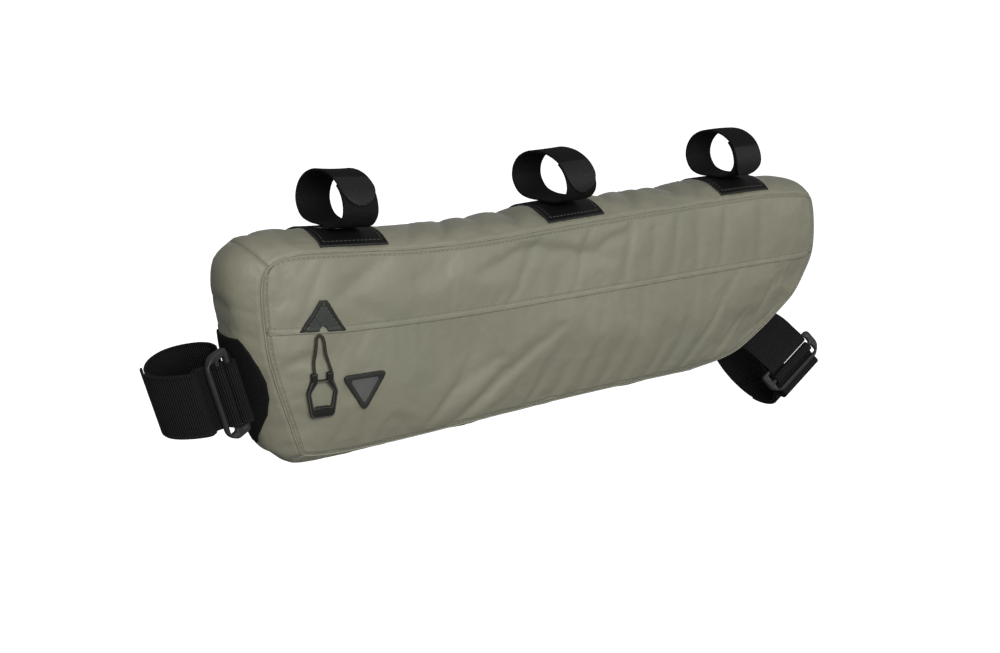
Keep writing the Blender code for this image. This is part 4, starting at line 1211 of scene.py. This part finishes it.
def strap_paths(run, holder, buckle_at, turn, span, reach, tail):
    """The strap's path, its holder's path and the buckle's place, as in the CAD."""
    ahead = np.array((-math.sin(turn), math.cos(turn)))
    inside = np.array((math.cos(turn), math.sin(turn)))
    pitch = BUCKLE_BAR + BUCKLE_SLOT
    near = np.array((buckle_at[0] * span, buckle_at[1] * reach))
    middle = near + ahead * pitch
    far = middle + ahead * pitch
    wrap = math.hypot(BUCKLE_BAR, BUCKLE_THICKNESS) / 2 + SEAT_GAP + WEBBING_WALL / 2
    layer = WEBBING_WALL + LAYER_GAP
    under = BUCKLE_THICKNESS / 2 + 2 * SEAT_GAP + WEBBING_WALL / 2
    seat = WEBBING_WALL / 2 + SEAT_GAP
    rows = [(across * span, away * reach + seat, 0.0) for across, away in run]
    rows.append((*(far + ahead * pitch * 0.8 + inside * (under + layer)), 0.0))
    rows.append((*(far + inside * (under + layer)), 0.0))
    curve = Smooth(rows)
    main = curve(np.linspace(0.0, 1.0, max(2, round(curve.length / PATH_STEP)) + 1))[:, :2]
    path = list(main)
    path.append(middle + ahead * pitch * 0.50 + inside * (under + layer * 0.85))
    path.append(middle + ahead * pitch * 0.22 + inside * (wrap + layer * 0.35))
    for angle in np.linspace(math.pi / 2, 2 * math.pi, 10):
        path.append(middle + ahead * wrap * math.cos(angle) + inside * wrap * math.sin(angle))
    path.append(middle + ahead * pitch * 0.55 + inside * under * 0.80)
    travelled = 0.0
    for i in range(len(main) - 1, 0, -1):
        here = main[min(i + 1, len(main) - 1)] - main[i - 1]
        here /= np.linalg.norm(here)
        path.append(main[i] + np.array((here[1], -here[0])) * layer)
        travelled += np.linalg.norm(main[i] - main[i - 1])
        if travelled > tail:
            break
    rows = [(across * span, away * reach + seat, 0.0) for across, away in holder]
    rows.append((*(near - ahead * pitch * 0.35 - inside * (wrap + 0.0002)), 0.0))
    curve = Smooth(rows)
    held = list(curve(np.linspace(0.0, 1.0, max(2, round(curve.length / PATH_STEP)) + 1))[:, :2])
    for angle in np.linspace(-math.pi / 2, math.pi / 2, 7):
        held.append(near + ahead * wrap * math.cos(angle) + inside * wrap * math.sin(angle))
    held.append(near - ahead * pitch * 0.45 + inside * wrap * 0.70)
    held.append(near - ahead * pitch * 0.95 + inside * wrap * 0.25)
    return path, held, middle, ahead


def seat_at(up):
    return seam_at("seat_end", 2, up * HEIGHT - TUBE_HEIGHT)


seat_s = seat_at(0.455)
seat_run = ahead_on(seam, seat_s)
seat_frame = StrapFrame(seat_s, CLOTH_WALL + SEAT_GAP + 0.0014, -seat_run[0] / seat_run[2])
down_s = seam_at("bottom", 0, 0.905 * LENGTH - TUBE_ALONG, rising=False)
down_frame = StrapFrame(down_s, CLOTH_WALL, 0.0)
STRAPS = {
    # where it leaves, run, holder, the buckle's place and turn, span, reach and tail
    "seat_tube": (
        seat_frame, (SEAT_RUN, SEAT_HOLDER, (-0.500, 0.185), math.radians(25), 0.0610, 0.0560, 0.0560),
    ),
    "down_tube": (
        down_frame, (DOWN_RUN, DOWN_HOLDER, (-0.490, 0.370), math.radians(24), 0.0640, 0.0670, 0.0600),
    ),
}
SEAT_PATCH_OUTLINE = (
    (0.0, 0.12), (0.06, 0.28), (0.16, 0.52), (0.30, 0.78), (0.45, 0.91), (0.60, 0.95), (0.75, 0.90),
    (0.88, 0.80), (0.96, 0.68), (1.0, 0.58),
)
buckles = {}
for name, (strap_frame, shape) in STRAPS.items():
    path, held, middle, ahead = strap_paths(*shape)
    strip(f"{name}_strap_webbing", strap_frame, path, f"{name}_strap", 320)
    strip(f"{name}_holder_webbing", strap_frame, held, f"{name}_buckle_holder", 120)
    buckles[name] = (strap_frame, middle, ahead)
patch(
    "seat_end_patch_felt", seat_at(0.110), seat_at(0.645), 0.93, felt_tape, "seat_end_patch", 70, 50,
    SEAT_PATCH_OUTLINE,
)
print("straps made", list(buckles))

# %% [markdown]
# The buckles are injection moulded: flat ladder frames with rounded corners and softened edges, and
# bars that stand a little proud. A flat curve with two holes and a rounded edge gives the frame. It is
# turned into a mesh before it is placed.

# %% Make the buckles
def rounded(points, radius, steps=6):
    """The outline with each corner turned into an arc."""
    points = [np.array(point, float) for point in points]
    result = []
    for i, corner in enumerate(points):
        before, after = points[i - 1] - corner, points[(i + 1) % len(points)] - corner
        reach = min(radius, np.linalg.norm(before) * 0.48, np.linalg.norm(after) * 0.48)
        start = corner + before / np.linalg.norm(before) * reach
        end = corner + after / np.linalg.norm(after) * reach
        for k in range(steps + 1):
            t = k / steps
            result.append(start * (1 - t) ** 2 + corner * 2 * t * (1 - t) + end * t * t)
    return result


def cut_plate(name, rings, thickness, edge):
    """A flat plate with holes and rounded edges, as a mesh."""
    data = bpy.data.curves.new(name, "CURVE")
    data.dimensions, data.fill_mode = "2D", "BOTH"
    data.extrude, data.bevel_depth, data.bevel_resolution, data.offset = thickness / 2 - edge, edge, 3, -edge
    for ring in rings:
        line = data.splines.new("POLY")
        line.points.add(len(ring) - 1)
        for point, (x, y) in zip(line.points, ring):
            point.co = (x, y, 0.0, 1.0)
        line.use_cyclic_u = True
    made = bpy.data.objects.new(name, data)
    bpy.context.scene.collection.objects.link(made)
    pick(made)
    bpy.ops.object.convert(target="MESH")
    made = bpy.context.object
    bpy.ops.object.mode_set(mode="EDIT")
    bpy.ops.mesh.select_all(action="SELECT")
    bpy.ops.mesh.remove_doubles(threshold=0.00001)
    bpy.ops.mesh.normals_make_consistent(inside=False)
    bpy.ops.object.mode_set(mode="OBJECT")
    return made


def box(low, high, corner):
    return rounded([low, (high[0], low[1]), high, (low[0], high[1])], corner)


def settle_mesh(piece, matrix):
    piece.data.transform(matrix)
    smooth_by_angle(piece, 40)


BUCKLE_OUTER_CORNER, BUCKLE_INNER_CORNER, BUCKLE_EDGE, RAIL_RISE = 0.0034, 0.0012, 0.0009, 0.0008


def buckle(name, strap_frame, middle, ahead):
    pitch = BUCKLE_BAR + BUCKLE_SLOT
    inner = WEBBING_WIDTH + 2 * BUCKLE_PLAY
    half, end = inner / 2 + BUCKLE_RAIL, (3 * BUCKLE_BAR + 2 * BUCKLE_SLOT) / 2
    outline = rounded(
        [(-half, -end), (half, -end), (half, end - BUCKLE_CORNER), (half - BUCKLE_CORNER, end),
         (-half + BUCKLE_CORNER, end), (-half, end - BUCKLE_CORNER)], BUCKLE_OUTER_CORNER,
    )
    slots = [
        box((-inner / 2, BUCKLE_BAR / 2 - pitch), (inner / 2, -BUCKLE_BAR / 2), BUCKLE_INNER_CORNER),
        box((-inner / 2, BUCKLE_BAR / 2), (inner / 2, pitch - BUCKLE_BAR / 2), BUCKLE_INNER_CORNER),
    ]
    made = cut_plate(f"{name}_buckle_moulding", [outline] + slots, BUCKLE_THICKNESS, BUCKLE_EDGE)
    points = read_points(made.data)
    rail = soft_step(np.abs(points[:, 0]), inner / 2 + 0.0003, inner / 2 + 0.0016)
    points[:, 2] += np.sign(points[:, 2]) * RAIL_RISE * rail * (1 - (points[:, 1] / end) ** 4)
    write_points(made.data, points)
    forward = unit(np.array((0.0, ahead[0], 0.0)) + strap_frame.out * ahead[1])
    turn = Matrix((strap_frame.width, forward, np.cross(strap_frame.width, forward))).transposed()
    place = strap_frame.place(middle[0], middle[1], 0.0)
    settle_mesh(made, Matrix.Translation(Vector(place)) @ turn.to_4x4())
    dress(made, plastic, f"{name}_buckle")


for name, (strap_frame, middle, ahead) in buckles.items():
    buckle(name, strap_frame, middle, ahead)
print("buckles made")

# %% [markdown]
# The badge is a soft rubber triangle, point down, with a raised dark rim round a lighter recessed
# field. Rim and field are cut as two plates and joined to one piece, each with its own colour.

# %% Make the badge
BADGE_ALONG, BADGE_BELOW_ZIP, BADGE_WIDTH, BADGE_HEIGHT = 0.0656, 0.0420, 0.0326, 0.0268
BADGE_OPENING, BADGE_FIELD, BADGE_SHIFT = 0.66, 0.74, 0.0012


def flat_place(along, up, lift, reach):
    """The turn and place of a stiff flat piece that lies on the front's cloth."""
    def at(dx, dz):
        x = along - TUBE_ALONG + dx
        return on_front(x, zip_height(along - TUBE_ALONG) + up + dz, 0.0)[0]

    spots = [at(dx * reach, dz * reach) for dx in (-1, 0, 1) for dz in (-1, 0, 1)]
    right = (sum(spots[6:], Vector()) - sum(spots[:3], Vector())).normalized()
    rise = (sum(spots[2::3], Vector()) - sum(spots[::3], Vector())).normalized()
    back = rise.cross(right).normalized()
    back = back if back.y > 0 else -back
    centre = sum(spots, Vector()) / len(spots)
    bulge = max((centre - spot).dot(back) for spot in spots)
    up_axis = back.cross(right) * -1.0
    up_axis = up_axis if up_axis.z > 0 else -up_axis
    turn = Matrix((right, up_axis, right.cross(up_axis))).transposed()
    return Matrix.Translation(centre - back * (lift + bulge)) @ turn.to_4x4()


def triangle(width, height, corner, shift=0.0):
    half = width / 2
    points = [(-half, height / 2), (half, height / 2), (0.0, -height / 2)]
    return [point + np.array((0.0, shift)) for point in rounded(points, corner, 8)]


def join(pieces, name):
    deselect()
    for piece in pieces:
        piece.select_set(True)
    bpy.context.view_layer.objects.active = pieces[0]
    bpy.ops.object.join()
    pieces[0].name = pieces[0].data.name = name
    return pieces[0]


outer_ring = triangle(BADGE_WIDTH, BADGE_HEIGHT, 0.0055)
inner_ring = triangle(BADGE_WIDTH * BADGE_OPENING, BADGE_HEIGHT * BADGE_OPENING, 0.0034, BADGE_SHIFT)
rim = cut_plate("badge_rim", [outer_ring, inner_ring], 0.0022, 0.0008)
rim.data.materials.append(dark_rubber)
field_ring = triangle(BADGE_WIDTH * BADGE_FIELD, BADGE_HEIGHT * BADGE_FIELD, 0.0030, BADGE_SHIFT)
field = cut_plate("badge_field", [field_ring], 0.0010, 0.0003)
field.data.transform(Matrix.Translation((0.0, 0.0, -0.0003)))
field.data.materials.append(grey_rubber)
badge = join([rim, field], "badge_triangle")
settle_mesh(badge, flat_place(BADGE_ALONG, -BADGE_BELOW_ZIP, 0.0012, 0.009))
dress(badge, None, "badge")
print("badge materials", [material.name for material in badge.data.materials])

# %% [markdown]
# The slider waits under the garage. Its cord, a thin braid, runs through it and hangs in front of the
# panel, and both ends are moulded into the sockets of the pull.

# %% Make the slider and its cord
CORD_DIAMETER = 0.0020
CORD_ROUTE = (
    # along from the seat end, up from the zip line, out from the cloth, in metres
    (0.0312, -0.0266, 0.0032), (0.0314, -0.0200, 0.0030), (0.0318, -0.0120, 0.0030),
    (0.0322, -0.0060, 0.0030), (0.0330, -0.0030, 0.0030), (0.0349, -0.0018, 0.0030),
    (0.0367, -0.0030, 0.0030), (0.0374, -0.0060, 0.0030), (0.0384, -0.0120, 0.0030),
    (0.0400, -0.0200, 0.0030), (0.0416, -0.0266, 0.0032),
)
SLIDER_ALONG, SLIDER_WIDTH, SLIDER_HEIGHT, SLIDER_THICKNESS = 0.0349, 0.0075, 0.0080, 0.0020
slider = cut_plate(
    "zip_slider_moulding",
    [box((-SLIDER_WIDTH / 2, -SLIDER_HEIGHT / 2), (SLIDER_WIDTH / 2, SLIDER_HEIGHT / 2), 0.002)],
    SLIDER_THICKNESS, 0.0005,
)
settle_mesh(slider, flat_place(SLIDER_ALONG, 0.0, 0.0004 - SLIDER_THICKNESS, 0.003))
dress(slider, plastic, "zip_slider")



def round_line(name, points, radius, resolution, closed=False):
    """A round line through points, as a curve."""
    data = bpy.data.curves.new(name, "CURVE")
    data.dimensions, data.bevel_depth, data.bevel_resolution = "3D", radius, resolution
    line = data.splines.new("POLY")
    line.points.add(len(points) - 1)
    for point, place in zip(line.points, points):
        point.co = (*place, 1.0)
    line.use_cyclic_u = closed
    made = bpy.data.objects.new(name, data)
    bpy.context.scene.collection.objects.link(made)
    return made


route = []
for along, up, out in CORD_ROUTE:
    x = along - TUBE_ALONG
    route.append(tuple(on_front(x, zip_height(x) + up, out)[0]))
cord_line = Smooth(route)
cord_points = cord_line(np.linspace(0.0, 1.0, 61))
cord = round_line("zip_pull_cord_braid", cord_points, CORD_DIAMETER / 2, 4)
cord.data.use_fill_caps = True
dress(cord, braid, "zip_pull_cord")

# %% [markdown]
# The pull is a moulded six-sided frame that the cloth shows through, with two sockets on top for the
# cord's ends and a solid block in its foot. Thin ridges run along its outer and inner edges; their
# lighter colour is a painted highlight.

# %% Make the pull
PULL_ALONG, PULL_BELOW_ZIP, PULL_WIDTH, PULL_LENGTH, PULL_RIM = 0.0364, 0.0270, 0.0205, 0.0290, 0.0026
PULL_THICKNESS, PULL_NECK, PULL_SOCKET = 0.0026, 0.0030, 0.0044


def pull_outer(shrink):
    """The frame's outer outline, moved in by shrink."""
    half, top, foot = PULL_WIDTH / 2 - shrink, -PULL_LENGTH * 0.12 - shrink, -PULL_LENGTH + shrink
    neck = PULL_NECK + PULL_SOCKET - shrink
    side = [(neck, top), (half, -PULL_LENGTH * 0.40), (half * 0.78, foot + 0.0018), (half * 0.62, foot)]
    return rounded(side + [(-x, y) for x, y in reversed(side)], 0.0014)


def pull_inner(grow):
    """The frame's opening, widened by grow."""
    half, neck = PULL_WIDTH / 2 - PULL_RIM - grow, PULL_NECK
    side = [
        (neck, -PULL_LENGTH * 0.16 + grow), (half + 2 * grow, -PULL_LENGTH * 0.40),
        (half * 0.76 + 2 * grow, -PULL_LENGTH * 0.76 - grow),
    ]
    return rounded(side + [(-x, y) for x, y in reversed(side)], 0.0012)


def pull_piece():
    parts = [cut_plate("pull_frame", [pull_outer(0.0), pull_inner(0.0)], PULL_THICKNESS, 0.0007)]
    for side in (-1, 1):
        x = side * (PULL_NECK + PULL_SOCKET / 2)
        parts.append(cut_plate(
            "pull_socket",
            [box((x - PULL_SOCKET / 2, -PULL_LENGTH * 0.17), (x + PULL_SOCKET / 2, 0.0014), 0.0011)],
            PULL_THICKNESS + 0.0008, 0.0011,
        ))
    parts.append(cut_plate(
        "pull_block",
        [box((-0.0044, -PULL_LENGTH * 0.92), (0.0044, -PULL_LENGTH * 0.74), 0.0012)],
        PULL_THICKNESS + 0.0006, 0.0007,
    ))
    for part in parts:
        part.data.materials.append(pull_plastic)
    # The ridges along the outer and inner outlines take the lighter plastic, a painted highlight on the
    # frame's edges.
    for rings in ((pull_outer(0.0003), pull_outer(0.0010)), (pull_inner(0.0006), pull_inner(0.0001))):
        ridge = cut_plate("pull_ridge", rings, PULL_THICKNESS + 0.0005, 0.0002)
        ridge.data.materials.append(pull_rim_highlight)
        parts.append(ridge)
    return join(parts, "zip_pull_moulding")


pull = pull_piece()
pull_place = flat_place(PULL_ALONG, -PULL_BELOW_ZIP - PULL_LENGTH / 2, 0.0006 + PULL_THICKNESS / 2, 0.010)
settle_mesh(pull, pull_place @ Matrix.Translation((0.0, PULL_LENGTH / 2, 0.0)))
dress(pull, None, "zip_pull")
tuple(float(value) for value in cord_points[0])
print("pull made")

# %% [markdown]
# A narrow rolled edge of cloth stands along both long seams, where the panels are sewn to the gusset.
# It is a thin round line laid along the seam.

# %% Make the seams' rolled edges
PIPING_RADIUS, PIPING_POINTS, PIPING_OUT, PIPING_FORWARD = 0.0006, 700, 0.0008, 0.0009
piping_cloth = moulded_finish("piping_cloth", (0.255, 0.250, 0.190), 0.55, 0.0012, 0.0001)


def piping(name, side):
    s = np.linspace(0.0, 1.0, PIPING_POINTS + 1)[:-1]
    places = seam(s) + seam_normal(s) * PIPING_OUT
    places[:, 1] = (places[:, 1] - PIPING_FORWARD) * side
    pick(round_line(name, places, PIPING_RADIUS, 2, closed=True))
    bpy.ops.object.convert(target="MESH")
    made = bpy.context.object
    smooth_faces(made)
    made.data.materials.clear()
    made.data.materials.append(piping_cloth)
    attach(made, "root")


for name, side in (("front_rolled_edge", 1), ("back_rolled_edge", -1)):
    piping(name, side)
print("rolled edges made")

# %% [markdown]
# The bag is photographed hanging free in front of white paper, in soft light from the front and the
# upper left. The floor lies far below, so that no shadow of the bag falls in the picture.

# %% Light it and stand it over its floor
bpy.ops.mesh.primitive_plane_add(size=400.0, location=(0.0, 0.0, -1.2))
floor = bpy.context.object
floor.name = "pale_floor"
paper = Finish("white_paper", (0.93, 0.93, 0.93), 0.9)
paper.shader.inputs["Emission Color"].default_value = (1.0, 1.0, 1.0, 1.0)
paper.shader.inputs["Emission Strength"].default_value = 1.0
floor.data.materials.append(paper.material)
floor.visible_diffuse = False
floor.visible_glossy = False
floor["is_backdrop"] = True

world = bpy.context.scene.world or bpy.data.worlds.new("soft_light")
bpy.context.scene.world = world
world.use_nodes = True
sky = world.node_tree.nodes
ways = sky.new("ShaderNodeTexCoord")
heights = sky.new("ShaderNodeSeparateXYZ")
strength = sky.new("ShaderNodeMapRange")
strength.inputs["From Min"].default_value, strength.inputs["From Max"].default_value = -0.6, 0.6
strength.inputs["To Min"].default_value, strength.inputs["To Max"].default_value = 0.10, 0.21
world.node_tree.links.new(ways.outputs["Generated"], heights.inputs[0])
world.node_tree.links.new(heights.outputs[2], strength.inputs["Value"])
world.node_tree.links.new(strength.outputs[0], sky["Background"].inputs["Strength"])
sky["Background"].inputs["Color"].default_value = (1.0, 1.0, 1.0, 1.0)
LIGHTS = (
    # name, place, aimed at, size, watts
    ("key_light", (-0.55, -1.6, 0.55), (0.0, 0.0, -0.1), 0.9, 24.0),
    ("fill_light", (1.6, -1.3, 0.7), (0.0, 0.0, -0.1), 1.0, 6.0),
)
for name, place, aim, size, power in LIGHTS:
    lamp = bpy.data.lights.new(name, "AREA")
    lamp.energy, lamp.size = power, size
    made = bpy.data.objects.new(name, lamp)
    made.matrix_world = Matrix.Translation(Vector(place)) @ (
        (Vector(aim) - Vector(place)).to_track_quat("-Z", "Y").to_matrix().to_4x4()
    )
    bpy.context.scene.collection.objects.link(made)
bpy.context.scene.view_settings.view_transform = "Standard"
print("lights", [name for name, *_ in LIGHTS])

# %% [markdown]
# The last cell measures the box of the finished model, prints it beside the CAD's and hands the scene over.

# %% Finish
visual_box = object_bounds()


def plain(value):
    if isinstance(value, dict):
        return {key: plain(part) for key, part in value.items()}
    if isinstance(value, (list, tuple)) or hasattr(value, "to_tuple"):
        return [plain(part) for part in value]
    return float(value)


{"cad": plain(cad_box), "visual": plain(visual_box)}
print("cad", cad_box, "visual", visual_box)
